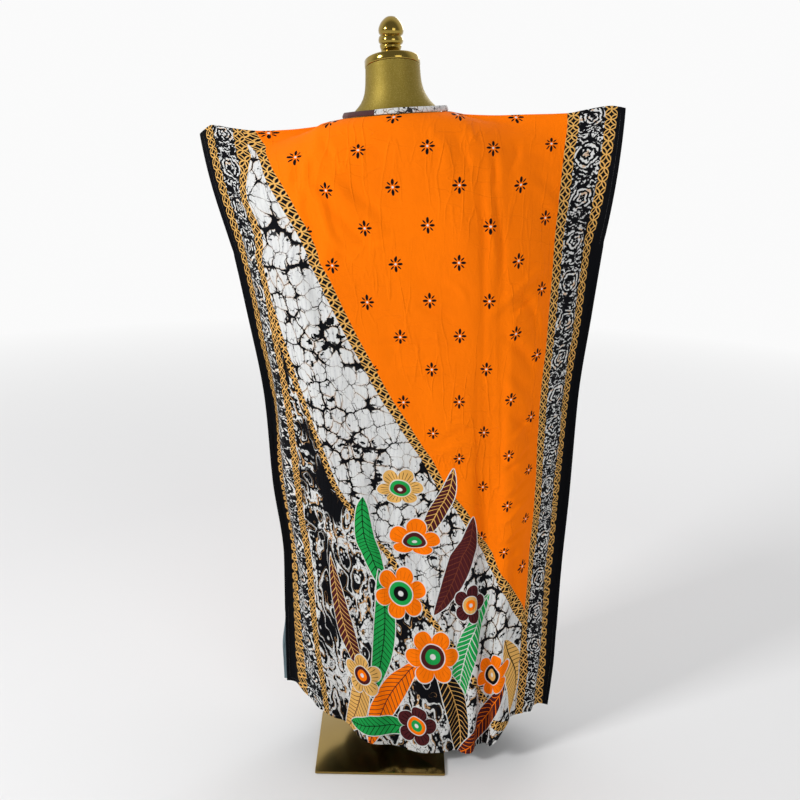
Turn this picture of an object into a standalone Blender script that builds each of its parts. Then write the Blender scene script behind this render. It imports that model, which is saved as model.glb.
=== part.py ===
"""A long batik muumuu on a limbless dress form with a neck cap, finial, pole and base plate.

Metres, +Z up. The wearer faces +Y, so the back panel is on the -Y side. The origin is the centre of the
base plate's underside. Each cloth panel is one cut rectangle: "across" runs from 0 at its -X edge to 1 at
its +X edge, and "fall" from 0 at the shoulder line to 1 at the hem.
"""

import math
from collections import namedtuple

import bmesh
import bpy
import numpy as np
from mathutils import Euler, Matrix, Vector

# Cloth
CUT_WIDTH = 0.92
CLOTH_WALL = 0.0015
SEAM_GAP = 0.0003
PANEL_GAP = 0.0006
BODY_ACROSS = 0.4734
CUFF_FALL = 0.19
CUFF_OPEN = 0.050
SLIT_FALL = 0.86
SLIT_OPEN = 0.020
SLIT_OVERHANG = 0.009
WING_TIP = 0.24
FRONT_NECK_DROP = 0.078
FRONT_NECK_ROUND = 0.74
NECK_LEFT_X = -0.097
NECK_RIGHT_X = 0.115
STEEPEST_CLOTH = 0.25
ARC_SAMPLES = 600

# Neck binding
BINDING_HEIGHT = 0.0105
BINDING_WALL = 0.0022
BINDING_LEAN = 0.004
BINDING_JOIN = 0.152
BINDING_GAP = 0.0006
BINDING_REACH = 0.012
BINDING_STEPS = 64

# Dress form, stand and base
TORSO_SIDES = 40
NECK_TOP_Z = 1.5505
NECK_RADIUS = 0.0545
NECK_CENTRE_X = 0.003
NECK_PITCH = math.radians(16.5)
NECK_ROLL = math.radians(5.3)
CAP_RADIUS = 0.0555
CAP_HEIGHT = 0.0165
CAP_EDGE = 0.0020
FINIAL_X = -0.0015
POLE_RADIUS = 0.016
PLATE_SIZE = 0.300
PLATE_THICKNESS = 0.006
PLATE_CORNER = 0.004
COLLAR_RADIUS = 0.042
COLLAR_FOOT = 0.006
COLLAR_NECK_RADIUS = 0.024
COLLAR_HEIGHT = 0.050
TURNED_SIDES = 40
MERGE = 0.00001
CUTTER_SIZE = 0.06

# Side edges of the garment, both panels alike: where they are at each fall. "swing" is how far the left
# wing's tip reaches forward of the line between the two edges.
Outline = namedtuple("Outline", "fall left_x left_y swing right_x right_y")
OUTLINE = (
    Outline(0.00, -0.403, 0.030, 0.055, 0.471, -0.010),
    Outline(0.08, -0.377, 0.034, 0.045, 0.464, 0.000),
    Outline(0.17, -0.341, 0.040, 0.012, 0.455, 0.010),
    Outline(0.30, -0.305, 0.040, 0.000, 0.441, 0.022),
    Outline(0.45, -0.272, 0.040, 0.000, 0.425, 0.030),
    Outline(0.60, -0.258, 0.038, 0.000, 0.422, 0.032),
    Outline(0.75, -0.234, 0.030, 0.000, 0.415, 0.030),
    Outline(0.90, -0.233, 0.024, 0.000, 0.413, 0.030),
    Outline(1.00, -0.230, 0.020, 0.000, 0.404, 0.030),
)

# The shoulder line, seen from behind: its height at each x
Height = namedtuple("Height", "x z")
SHOULDER_LINE = (
    Height(-0.403, 1.412),
    Height(-0.374, 1.431),
    Height(-0.330, 1.426),
    Height(-0.272, 1.422),
    Height(-0.218, 1.425),
    Height(-0.165, 1.431),
    Height(-0.120, 1.440),
    Height(-0.097, 1.449),
    Height(-0.037, 1.457),
    Height(0.013, 1.462),
    Height(0.096, 1.467),
    Height(0.115, 1.468),
    Height(0.150, 1.463),
    Height(0.203, 1.462),
    Height(0.274, 1.465),
    Height(0.356, 1.469),
    Height(0.400, 1.478),
    Height(0.444, 1.485),
    Height(0.471, 1.481),
)

BACK_HEM = (
    Height(-0.222, 0.143),
    Height(-0.150, 0.131),
    Height(-0.100, 0.108),
    Height(-0.027, 0.060),
    Height(0.056, 0.040),
    Height(0.156, 0.032),
    Height(0.230, 0.036),
    Height(0.265, 0.062),
    Height(0.300, 0.103),
    Height(0.340, 0.107),
    Height(0.375, 0.090),
    Height(0.404, 0.082),
)
FRONT_HEM = (
    Height(-0.222, 0.135),
    Height(-0.100, 0.085),
    Height(0.000, 0.048),
    Height(0.150, 0.036),
    Height(0.280, 0.052),
    Height(0.404, 0.082),
)

# How each panel stands out in front of or behind the form. "full" and "thin" are shares of the way from
# the body's middle to a side edge: the panel stands at its depth inside "full" and lies at the seam
# beyond "thin".
Depth = namedtuple("Depth", "fall depth full thin bend")
BACK_DEPTH = (
    Depth(0.000, 0.084, 0.00, 0.313, 0.8),
    Depth(0.006, 0.094, 0.01, 0.430, 0.8),
    Depth(0.012, 0.101, 0.02, 0.540, 0.9),
    Depth(0.030, 0.114, 0.06, 0.700, 1.1),
    Depth(0.060, 0.126, 0.12, 0.820, 1.2),
    Depth(0.120, 0.134, 0.20, 0.920, 1.2),
    Depth(0.220, 0.134, 0.26, 0.940, 1.0),
    Depth(0.350, 0.128, 0.34, 0.940, 1.0),
    Depth(0.600, 0.118, 0.40, 0.940, 1.0),
    Depth(1.000, 0.106, 0.44, 0.940, 1.0),
)
FRONT_DEPTH = (
    Depth(0.000, 0.108, 0.00, 0.317, 0.8),
    Depth(0.006, 0.116, 0.01, 0.440, 0.8),
    Depth(0.012, 0.121, 0.02, 0.550, 0.9),
    Depth(0.030, 0.132, 0.06, 0.710, 1.1),
    Depth(0.060, 0.143, 0.12, 0.820, 1.2),
    Depth(0.120, 0.153, 0.20, 0.920, 1.2),
    Depth(0.220, 0.158, 0.28, 0.940, 1.0),
    Depth(0.350, 0.154, 0.36, 0.940, 1.0),
    Depth(0.600, 0.142, 0.40, 0.940, 1.0),
    Depth(1.000, 0.126, 0.44, 0.940, 1.0),
)

# Hanging folds. A positive depth is a groove towards the body, a negative one a ridge away from it.
Fold = namedtuple("Fold", "top_across hem_across starts depth half_width")
BACK_FOLDS = (
    Fold(0.135, 0.160, 0.20, -0.006, 0.045),
    Fold(0.200, 0.245, 0.14, 0.022, 0.050),
    Fold(0.290, 0.325, 0.45, -0.008, 0.050),
    Fold(0.385, 0.400, 0.60, 0.010, 0.045),
    Fold(0.500, 0.490, 0.62, -0.007, 0.060),
    Fold(0.600, 0.585, 0.70, 0.011, 0.034),
    Fold(0.640, 0.630, 0.45, -0.007, 0.035),
    Fold(0.682, 0.690, 0.10, 0.032, 0.056),
    Fold(0.740, 0.755, 0.40, -0.010, 0.045),
    Fold(0.830, 0.830, 0.55, 0.012, 0.040),
    Fold(0.900, 0.895, 0.60, -0.008, 0.040),
)
FRONT_FOLDS = (
    Fold(0.180, 0.160, 0.16, 0.024, 0.050),
    Fold(0.260, 0.250, 0.30, -0.019, 0.050),
    Fold(0.340, 0.335, 0.24, 0.032, 0.050),
    Fold(0.430, 0.420, 0.40, -0.022, 0.050),
    Fold(0.505, 0.505, 0.34, 0.032, 0.050),
    Fold(0.590, 0.595, 0.38, -0.022, 0.050),
    Fold(0.675, 0.680, 0.22, 0.035, 0.052),
    Fold(0.760, 0.770, 0.32, -0.019, 0.045),
    Fold(0.840, 0.850, 0.18, 0.024, 0.045),
)

# Body of the dress form: one row for each section, from the neck down
Section = namedtuple("Section", "z x half_width front back pitch roll squareness")
TORSO = (
    Section(NECK_TOP_Z, NECK_CENTRE_X, 0.0545, 0.0545, 0.0545, 16.5, 5.3, 2.0),
    Section(1.525, 0.0045, 0.0560, 0.0550, 0.0550, 15.0, 5.5, 2.0),
    Section(1.503, 0.0065, 0.0600, 0.0560, 0.0570, 13.5, 5.8, 2.0),
    Section(1.485, 0.0080, 0.0690, 0.0590, 0.0610, 12.0, 6.0, 2.0),
    Section(1.466, 0.0080, 0.0870, 0.0640, 0.0670, 10.0, 6.0, 2.0),
    Section(1.4514, 0.0055, 0.1045, 0.0700, 0.0735, 8.5, 4.6, 2.0),
    Section(1.436, 0.0060, 0.1280, 0.0780, 0.0810, 7.0, 5.5, 2.1),
    Section(1.412, 0.0060, 0.1590, 0.0880, 0.0900, 5.0, 4.5, 2.2),
    Section(1.380, 0.0040, 0.1730, 0.0990, 0.0990, 3.0, 3.0, 2.3),
    Section(1.335, 0.0020, 0.1760, 0.1120, 0.1060, 0.0, 1.0, 2.3),
    Section(1.280, 0.0000, 0.1680, 0.1250, 0.1090, 0.0, 0.0, 2.3),
    Section(1.215, 0.0000, 0.1570, 0.1310, 0.1060, 0.0, 0.0, 2.3),
    Section(1.140, 0.0000, 0.1400, 0.1140, 0.0960, 0.0, 0.0, 2.2),
    Section(1.060, 0.0000, 0.1250, 0.0940, 0.0840, 0.0, 0.0, 2.2),
    Section(0.980, 0.0000, 0.1370, 0.0960, 0.0880, 0.0, 0.0, 2.2),
    Section(0.900, 0.0000, 0.1560, 0.1010, 0.0970, 0.0, 0.0, 2.3),
    Section(0.830, 0.0000, 0.1620, 0.1000, 0.0980, 0.0, 0.0, 2.3),
    Section(0.790, 0.0000, 0.1580, 0.0960, 0.0940, 0.0, 0.0, 2.3),
    Section(0.772, 0.0000, 0.1480, 0.0870, 0.0850, 0.0, 0.0, 2.3),
    Section(0.766, 0.0000, 0.1360, 0.0770, 0.0750, 0.0, 0.0, 2.3),
)

# Finial outline, turned about its own axis, from the top down
Turned = namedtuple("Turned", "radius z")
FINIAL = (
    Turned(0.0000, 1.6470),
    Turned(0.0070, 1.6460),
    Turned(0.0130, 1.6425),
    Turned(0.0195, 1.6355),
    Turned(0.0235, 1.6275),
    Turned(0.0250, 1.6205),
    Turned(0.0240, 1.6140),
    Turned(0.0212, 1.6102),
    Turned(0.0232, 1.6080),
    Turned(0.0246, 1.6020),
    Turned(0.0236, 1.5965),
    Turned(0.0210, 1.5935),
    Turned(0.0218, 1.5910),
    Turned(0.0206, 1.5860),
    Turned(0.0190, 1.5820),
    Turned(0.0190, 1.5500),
    Turned(0.0000, 1.5500),
)

Finish = namedtuple("Finish", "colour roughness metallic")
FINISHES = {
    "batik_cloth": Finish((0.90, 0.28, 0.01, 1.0), 0.80, 0.0),
    "binding_plain": Finish((0.07, 0.01, 0.015, 1.0), 0.80, 0.0),
    "binding_print": Finish((0.75, 0.74, 0.70, 1.0), 0.80, 0.0),
    "form_gold": Finish((0.40, 0.30, 0.06, 1.0), 0.55, 0.4),
    "cap_gold": Finish((0.55, 0.40, 0.08, 1.0), 0.12, 1.0),
    "stand_gold": Finish((0.30, 0.21, 0.06, 1.0), 0.18, 1.0),
}


def clear_scene():
    """Remove the objects that the scene starts with."""
    for obj in list(bpy.data.objects):
        bpy.data.objects.remove(obj)


def ease(value):
    """Smooth step from 0 to 1."""
    value = min(max(value, 0.0), 1.0)
    return value * value * (3.0 - 2.0 * value)


def table_value(rows, key, at, column):
    """A table's column at a value of its key column, on a smooth curve that never passes its own points."""
    keys = [getattr(row, key) for row in rows]
    values = [getattr(row, column) for row in rows]
    if at <= keys[0]:
        return values[0]
    if at >= keys[-1]:
        return values[-1]
    i = max(n for n in range(len(keys) - 1) if keys[n] <= at)
    run = keys[i + 1] - keys[i]
    rises = [(values[n + 1] - values[n]) / (keys[n + 1] - keys[n]) for n in range(len(keys) - 1)]

    def slope(n):
        if n in (0, len(keys) - 1):
            return rises[min(n, len(rises) - 1)]
        before, after = rises[n - 1], rises[n]
        return 0.0 if before * after <= 0 else 2 * before * after / (before + after)

    u = (at - keys[i]) / run
    start = (2 * u**3 - 3 * u**2 + 1) * values[i] + (u**3 - 2 * u**2 + u) * run * slope(i)
    end = (3 * u**2 - 2 * u**3) * values[i + 1] + (u**3 - u**2) * run * slope(i + 1)
    return start + end


class Panel:
    """One cloth panel: the back at side -1 or the front at side +1."""

    def __init__(self, side, depths, folds, hem):
        self.side = side
        self.depths = depths
        self.folds = folds
        self.hem = hem
        self.rows = {}

    def shoulder_z(self, x):
        """Height of the panel's top edge. The front neckline is scooped below the shoulder line."""
        z = table_value(SHOULDER_LINE, "x", x, "z")
        if self.side > 0 and NECK_LEFT_X < x < NECK_RIGHT_X:
            across_neck = (x - NECK_LEFT_X) / (NECK_RIGHT_X - NECK_LEFT_X)
            z -= FRONT_NECK_DROP * math.sin(math.pi * across_neck) ** FRONT_NECK_ROUND
        return z

    def edge_gap(self, fall):
        """Distance of the panel's side edge from the seam line: open at the cuff and at the hem slit."""
        cuff = math.sin(math.pi * fall / CUFF_FALL) ** 0.7 if 0 < fall < CUFF_FALL else 0.0
        slit = ease((fall - SLIT_FALL) / (1 - SLIT_FALL))
        return PANEL_GAP / 2 + CUFF_OPEN / 2 * cuff + SLIT_OPEN / 2 * slit

    def fold_depth(self, across, fall):
        """Sum of the hanging folds, positive towards the body."""
        total = 0.0
        for fold in self.folds:
            middle = fold.top_across + (fold.hem_across - fold.top_across) * fall
            reach = abs(across - middle) / fold.half_width
            if reach < 1.0 and fall > fold.starts:
                growth = (fall - fold.starts) / (1 - fold.starts)
                total += fold.depth * growth * 0.5 * (1 + math.cos(math.pi * reach))
        return total

    def arch(self, across, fall):
        """How far the panel has risen from its side edges, 0 to 1, and its depth over the body."""
        if across < BODY_ACROSS:
            reach = (BODY_ACROSS - across) / BODY_ACROSS
        else:
            reach = (across - BODY_ACROSS) / (1 - BODY_ACROSS)
        depth, full, thin, bend = (
            table_value(self.depths, "fall", fall, column) for column in Depth._fields[1:]
        )
        rise = min(max((thin - reach) / (thin - full), 0.0), 1.0)
        return math.sin(math.pi / 2 * rise) ** bend, depth

    def row(self, fall):
        """Plan curve at a fall: arrays of across, x and y. Cloth that turns away takes less width."""
        if fall in self.rows:
            return self.rows[fall]
        left_x, left_y, swing, right_x, right_y = (
            table_value(OUTLINE, "fall", fall, column) for column in Outline._fields[1:]
        )
        if self.side > 0:
            left_x -= SLIT_OVERHANG * ease((fall - SLIT_FALL) / (1 - SLIT_FALL) * 2)
        across = np.linspace(0.0, 1.0, ARC_SAMPLES + 1)
        arches, depths = np.array([self.arch(a, fall) for a in across]).T
        tip = np.clip(1.0 - across / WING_TIP, 0.0, 1.0) ** 2
        edge = left_y + (right_y - left_y) * across + swing * tip + self.side * self.edge_gap(fall)
        folds = np.array([self.fold_depth(a, fall) for a in across])
        y = edge * (1 - arches) + self.side * (depths * arches - folds)
        slope = np.clip(np.abs(np.gradient(y, across)) / CUT_WIDTH, 0.0, math.sqrt(1 - STEEPEST_CLOTH**2))
        width = np.sqrt(1.0 - slope**2)
        walked = np.concatenate(([0.0], np.cumsum((width[1:] + width[:-1]) / 2)))
        x = left_x + (right_x - left_x) * walked / walked[-1]
        self.rows[fall] = (across, x, y)
        return self.rows[fall]

    def point(self, across, fall):
        """A point of the panel's inner face."""
        at, x, y = self.row(fall)
        top_x = np.interp(across, at, self.row(0.0)[1])
        hem_x = np.interp(across, at, self.row(1.0)[1])
        top = self.shoulder_z(top_x)
        hem = table_value(self.hem, "x", hem_x, "z")
        return Vector((np.interp(across, at, x), np.interp(across, at, y), top + (hem - top) * fall))


BACK = Panel(-1, BACK_DEPTH, BACK_FOLDS, BACK_HEM)
FRONT = Panel(1, FRONT_DEPTH, FRONT_FOLDS, FRONT_HEM)
BACK_COLUMNS = 50
BACK_ROWS = 26
FRONT_COLUMNS = 42
FRONT_ROWS = 22
ROW_CROWDING = 1.5


def new_object(name, mesh, finish, collection):
    """An object with its own material, in the garment's collection."""
    colour, roughness, metallic = FINISHES[finish]
    material = bpy.data.materials.new(name + "_" + finish)
    material.use_nodes = True
    shader = material.node_tree.nodes["Principled BSDF"]
    shader.inputs["Base Color"].default_value = colour
    shader.inputs["Roughness"].default_value = roughness
    shader.inputs["Metallic"].default_value = metallic
    mesh.materials.append(material)
    obj = bpy.data.objects.new(name, mesh)
    collection.objects.link(obj)
    return obj


def grid_mesh(name, points, closed=False, flip=False):
    """A mesh of quads through rows of points. closed joins each row's end to its start."""
    mesh = bmesh.new()
    rows = [[mesh.verts.new(p) for p in row] for row in points]
    for upper, lower in zip(rows, rows[1:]):
        count = len(upper)
        for i in range(count if closed else count - 1):
            j = (i + 1) % count
            corners = [upper[i], lower[i], lower[j], upper[j]]
            mesh.faces.new(reversed(corners) if flip else corners)
    data = bpy.data.meshes.new(name)
    mesh.to_mesh(data)
    mesh.free()
    return data


def cap_ends(mesh_data):
    """Close the open ends of a loft with one flat face each."""
    mesh = bmesh.new()
    mesh.from_mesh(mesh_data)
    bmesh.ops.holes_fill(mesh, edges=mesh.edges, sides=0)
    bmesh.ops.recalc_face_normals(mesh, faces=mesh.faces)
    mesh.to_mesh(mesh_data)
    mesh.free()


def thicken(obj, wall):
    """Turn a single sheet into a wall on the side that its faces point to."""
    solid = obj.modifiers.new("wall", "SOLIDIFY")
    solid.thickness = wall
    solid.offset = 1.0
    solid.use_even_offset = True
    solid.use_quality_normals = True


def make_panel(name, panel, columns, rows, collection):
    """One cloth panel as a wall of even thickness."""
    falls = [(j / rows) ** ROW_CROWDING for j in range(rows + 1)]
    acrosses = [i / columns for i in range(columns + 1)]
    points = [[panel.point(across, fall) for across in acrosses] for fall in falls]
    mesh = grid_mesh(name, points, flip=panel.side > 0)
    obj = new_object(name, mesh, "batik_cloth", collection)
    thicken(obj, CLOTH_WALL)
    obj.data.shade_smooth()
    return obj


def neckline(turn):
    """The neckline's point, once round for a turn of 0 to 1: the back from the left shoulder, then the front."""
    middle = (NECK_LEFT_X + NECK_RIGHT_X) / 2
    half = (NECK_RIGHT_X - NECK_LEFT_X) / 2
    panel = BACK if turn % 1.0 < 0.5 else FRONT
    across, xs, _ = panel.row(0.0)
    x = middle - half * math.cos(2 * math.pi * turn)
    return panel.point(float(np.interp(x, xs, across)), 0.0)


def make_binding(name, start, end, finish, collection):
    """A strip of the neck binding between two turns round the neckline, standing on the panels' edges."""
    centre = Vector(((NECK_LEFT_X + NECK_RIGHT_X) / 2, 0.0, 0.0))
    steps = max(4, round(BINDING_STEPS * (end - start)))
    upper, lower = [], []
    for step in range(steps + 1):
        turn = start + (end - start) * step / steps
        p = neckline(turn)
        along = (neckline(turn + BINDING_REACH) - neckline(turn - BINDING_REACH)).normalized()
        outward = (Vector((p.x, p.y, 0.0)) - centre).normalized()
        rise = along.cross(outward).normalized()
        rise = rise if rise.z > 0 else -rise
        foot = p + rise * (3 * SEAM_GAP + CLOTH_WALL)
        lower.append(foot)
        upper.append(foot + rise * BINDING_HEIGHT - outward * BINDING_LEAN)
    mesh = grid_mesh(name, [upper, lower])
    obj = new_object(name, mesh, finish, collection)
    thicken(obj, BINDING_WALL)
    obj.data.shade_smooth()
    return obj


def section_ring(section):
    """Points round one section of the body, tilted forward by its pitch and to the left by its roll."""
    tilt = Euler((-math.radians(section.pitch), -math.radians(section.roll), 0.0)).to_matrix()
    ring = []
    for i in range(TORSO_SIDES):
        angle = 2 * math.pi * i / TORSO_SIDES
        c, s = math.cos(angle), math.sin(angle)
        power = 2.0 / section.squareness
        x = section.half_width * math.copysign(abs(c) ** power, c)
        y = (section.front if s > 0 else section.back) * math.copysign(abs(s) ** power, s)
        ring.append(tilt @ Vector((x, y, 0.0)) + Vector((section.x, 0.0, section.z)))
    return ring


def make_torso(collection):
    """The body of the dress form, neck included, as one smooth closed solid."""
    mesh = grid_mesh("form_body", [section_ring(section) for section in TORSO], closed=True)
    cap_ends(mesh)
    obj = new_object("form_body", mesh, "form_gold", collection)
    obj.data.shade_smooth()
    obj.data.set_sharp_from_angle(angle=math.radians(50))
    return obj


def turned(name, profile, finish, collection):
    """A closed solid turned about the Z axis from an outline of radii and heights."""
    mesh = bpy.data.meshes.new(name)
    points = [(radius, 0.0, z) for radius, z in profile]
    mesh.from_pydata(points, [(i, i + 1) for i in range(len(points) - 1)], [])
    obj = new_object(name, mesh, finish, collection)
    screw = obj.modifiers.new("turn", "SCREW")
    screw.axis = "Z"
    screw.steps = TURNED_SIDES
    screw.render_steps = TURNED_SIDES
    screw.use_merge_vertices = True
    screw.merge_threshold = MERGE
    screw.use_smooth_shade = True
    return obj


def neck_frame():
    """Placement of the neck's flat top."""
    tilt = Euler((-NECK_PITCH, -NECK_ROLL, 0.0)).to_matrix().to_4x4()
    return Matrix.Translation((NECK_CENTRE_X, 0.0, NECK_TOP_Z)) @ tilt


def make_neck_cap(collection):
    """The bright disc on the neck, with eased edges."""
    profile = (
        (0.0, CAP_HEIGHT),
        (CAP_RADIUS - 2 * CAP_EDGE, CAP_HEIGHT),
        (CAP_RADIUS - CAP_EDGE / 2, CAP_HEIGHT - CAP_EDGE / 2),
        (CAP_RADIUS, CAP_HEIGHT - 2 * CAP_EDGE),
        (CAP_RADIUS, CAP_EDGE),
        (CAP_RADIUS - CAP_EDGE, 0.0),
        (0.0, 0.0),
    )
    obj = turned("neck_cap", profile, "cap_gold", collection)
    obj.matrix_world = neck_frame() @ Matrix.Translation((0, 0, SEAM_GAP))
    return obj


def make_finial(collection, cutters):
    """The turned finial, upright, its foot cut to the slope of the cap."""
    obj = turned("finial", FINIAL, "cap_gold", collection)
    obj.location.x = FINIAL_X
    block = bpy.data.meshes.new("finial_foot_cutter")
    mesh = bmesh.new()
    bmesh.ops.create_cube(mesh, size=2 * CUTTER_SIZE)
    mesh.to_mesh(block)
    mesh.free()
    cutter = bpy.data.objects.new("finial_foot_cutter", block)
    cutters.objects.link(cutter)
    cutter.hide_render = True
    cutter.display_type = "WIRE"
    cutter.matrix_world = neck_frame() @ Matrix.Translation((0, 0, CAP_HEIGHT + 2 * SEAM_GAP - CUTTER_SIZE))
    cut = obj.modifiers.new("foot", "BOOLEAN")
    cut.operation = "DIFFERENCE"
    cut.object = cutter
    return obj


def make_pole(collection):
    """The upright that carries the body, from the base plate to the body's underside."""
    bottom = PLATE_THICKNESS + SEAM_GAP
    top = TORSO[-1].z - SEAM_GAP
    data = bpy.data.meshes.new("pole")
    mesh = bmesh.new()
    bmesh.ops.create_cone(
        mesh,
        cap_ends=True,
        segments=TURNED_SIDES,
        radius1=POLE_RADIUS,
        radius2=POLE_RADIUS,
        depth=top - bottom,
    )
    mesh.to_mesh(data)
    mesh.free()
    obj = new_object("pole", data, "stand_gold", collection)
    obj.location.z = (top + bottom) / 2
    obj.data.shade_smooth()
    obj.data.set_sharp_from_angle(angle=math.radians(40))
    return obj


def make_collar(collection):
    """The turned foot that holds the pole on the plate."""
    bore = POLE_RADIUS + SEAM_GAP
    bottom = PLATE_THICKNESS + SEAM_GAP
    profile = (
        (bore, bottom + COLLAR_HEIGHT),
        (COLLAR_NECK_RADIUS - 0.002, bottom + COLLAR_HEIGHT),
        (COLLAR_NECK_RADIUS, bottom + COLLAR_HEIGHT - 0.002),
        (COLLAR_NECK_RADIUS, bottom + 2 * COLLAR_FOOT),
        (COLLAR_NECK_RADIUS + COLLAR_FOOT, bottom + COLLAR_FOOT),
        (COLLAR_RADIUS - 0.002, bottom + COLLAR_FOOT),
        (COLLAR_RADIUS, bottom + COLLAR_FOOT - 0.002),
        (COLLAR_RADIUS, bottom),
        (bore, bottom),
        (bore, bottom + COLLAR_HEIGHT),
    )
    return turned("collar", profile, "stand_gold", collection)


def make_base_plate(collection):
    """The flat square plate that the form stands on, with small bevelled corners."""
    mesh = bmesh.new()
    size = Matrix.Diagonal((PLATE_SIZE, PLATE_SIZE, PLATE_THICKNESS, 1.0))
    bmesh.ops.create_cube(mesh, size=1.0, matrix=Matrix.Translation((0, 0, PLATE_THICKNESS / 2)) @ size)
    upright = [e for e in mesh.edges if abs(e.verts[0].co.z - e.verts[1].co.z) > PLATE_THICKNESS / 2]
    bmesh.ops.bevel(mesh, geom=upright, offset=PLATE_CORNER, segments=3, affect="EDGES", profile=0.5)
    data = bpy.data.meshes.new("base_plate")
    mesh.to_mesh(data)
    mesh.free()
    return new_object("base_plate", data, "stand_gold", collection)


def main():
    """Build every piece of the muumuu, the dress form and its stand."""
    clear_scene()
    collection = bpy.data.collections.new("muumuu_on_dress_form")
    bpy.context.scene.collection.children.link(collection)
    cutters = bpy.data.collections.new("cutters")
    bpy.context.scene.collection.children.link(cutters)
    make_panel("back_panel", BACK, BACK_COLUMNS, BACK_ROWS, collection)
    make_panel("front_panel", FRONT, FRONT_COLUMNS, FRONT_ROWS, collection)
    join = BINDING_JOIN + BINDING_GAP
    make_binding("neck_binding_plain", 0.0, BINDING_JOIN, "binding_plain", collection)
    make_binding("neck_binding_print", join, 1 - BINDING_GAP, "binding_print", collection)
    make_torso(collection)
    make_neck_cap(collection)
    make_finial(collection, cutters)
    make_pole(collection)
    make_collar(collection)
    make_base_plate(collection)


main()
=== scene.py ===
import logging
import math
from dataclasses import dataclass
from enum import Enum
from typing import NamedTuple, Sequence

import bpy
import numpy as np
from mathutils import Euler, Matrix, Vector
from mathutils.bvhtree import BVHTree


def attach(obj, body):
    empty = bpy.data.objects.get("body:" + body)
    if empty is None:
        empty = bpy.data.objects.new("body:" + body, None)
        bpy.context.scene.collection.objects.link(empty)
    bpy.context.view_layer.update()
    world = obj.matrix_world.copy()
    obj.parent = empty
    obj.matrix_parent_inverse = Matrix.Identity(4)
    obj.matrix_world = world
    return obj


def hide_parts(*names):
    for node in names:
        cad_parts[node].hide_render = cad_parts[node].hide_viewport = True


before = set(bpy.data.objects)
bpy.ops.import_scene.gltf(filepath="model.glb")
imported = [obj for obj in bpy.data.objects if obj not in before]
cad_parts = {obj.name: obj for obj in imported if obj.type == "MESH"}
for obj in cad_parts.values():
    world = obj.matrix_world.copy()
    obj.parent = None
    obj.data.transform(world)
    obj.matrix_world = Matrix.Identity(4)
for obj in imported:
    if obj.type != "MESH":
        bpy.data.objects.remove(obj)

LOG = logging.getLogger("muumuu")
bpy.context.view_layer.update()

# Cloth, as it was cut
CUT_WIDTH = 0.92
CUT_LENGTH = 1.46
CLOTH_WALL = 0.0015
SEAM_GAP = 0.0003
PANEL_GAP = 0.0006
BODY_ACROSS = 0.4734
CUFF_FALL = 0.19
CUFF_OPEN = 0.050
SLIT_FALL = 0.86
SLIT_OPEN = 0.020
SLIT_OVERHANG = 0.009
WING_TIP = 0.24
FRONT_NECK_DROP = 0.078
FRONT_NECK_ROUND = 0.74
NECK_LEFT_X = -0.097
NECK_RIGHT_X = 0.115
STEEPEST_CLOTH = 0.25

# Neck of the dress form and its cap
NECK_TOP_Z = 1.5505
NECK_CENTRE_X = 0.003
NECK_PITCH = math.radians(16.5)
NECK_ROLL = math.radians(5.3)
CAP_HEIGHT = 0.0165


class Outline(NamedTuple):
    """Where the garment's side edges are at one fall."""

    fall: float
    left_x: float
    left_y: float
    swing: float
    right_x: float
    right_y: float


class Height(NamedTuple):
    """Height of a top or bottom edge at one x."""

    x: float
    z: float


class Depth(NamedTuple):
    """How far a panel stands out from the body at one fall."""

    fall: float
    depth: float
    full: float
    thin: float
    bend: float


class Fold(NamedTuple):
    """A hanging fold: a groove where the depth is positive, a ridge where it is negative."""

    top_across: float
    hem_across: float
    starts: float
    depth: float
    half_width: float


class Section(NamedTuple):
    """One section of the dress form's body."""

    z: float
    x: float
    half_width: float
    front: float
    back: float
    pitch: float
    roll: float
    squareness: float


class Crease(NamedTuple):
    """A small crease between two places of the flat cloth, in metres from its top left corner."""

    u0: float
    v0: float
    u1: float
    v1: float
    depth: float
    half_width: float


class Ease(NamedTuple):
    """Where the print's lines lie across the cloth at one distance down it."""

    v: float
    black: float
    chain: float
    rose: float
    border: float
    outer: float
    first: float
    middle: float
    last: float
    right_border: float
    right_rose: float
    right_chain: float
    right_black: float


def table(kind: type[NamedTuple], *rows: tuple[float, ...]) -> tuple[NamedTuple, ...]:
    """Rows of numbers, each with the columns that its kind names."""
    return tuple(kind(*row) for row in rows)


OUTLINE = table(
    Outline,
    (0.00, -0.403, 0.030, 0.055, 0.471, -0.010),
    (0.08, -0.377, 0.034, 0.045, 0.464, 0.000),
    (0.17, -0.341, 0.040, 0.012, 0.455, 0.010),
    (0.30, -0.305, 0.040, 0.000, 0.441, 0.022),
    (0.45, -0.272, 0.040, 0.000, 0.425, 0.030),
    (0.60, -0.258, 0.038, 0.000, 0.422, 0.032),
    (0.75, -0.234, 0.030, 0.000, 0.415, 0.030),
    (0.90, -0.233, 0.024, 0.000, 0.413, 0.030),
    (1.00, -0.230, 0.020, 0.000, 0.404, 0.030),
)
SHOULDER_LINE = table(
    Height,
    (-0.403, 1.412),
    (-0.374, 1.431),
    (-0.330, 1.426),
    (-0.272, 1.422),
    (-0.218, 1.425),
    (-0.165, 1.431),
    (-0.120, 1.440),
    (-0.097, 1.449),
    (-0.037, 1.457),
    (0.013, 1.462),
    (0.096, 1.467),
    (0.115, 1.468),
    (0.150, 1.463),
    (0.203, 1.462),
    (0.274, 1.465),
    (0.356, 1.469),
    (0.400, 1.478),
    (0.444, 1.485),
    (0.471, 1.481),
)
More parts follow.
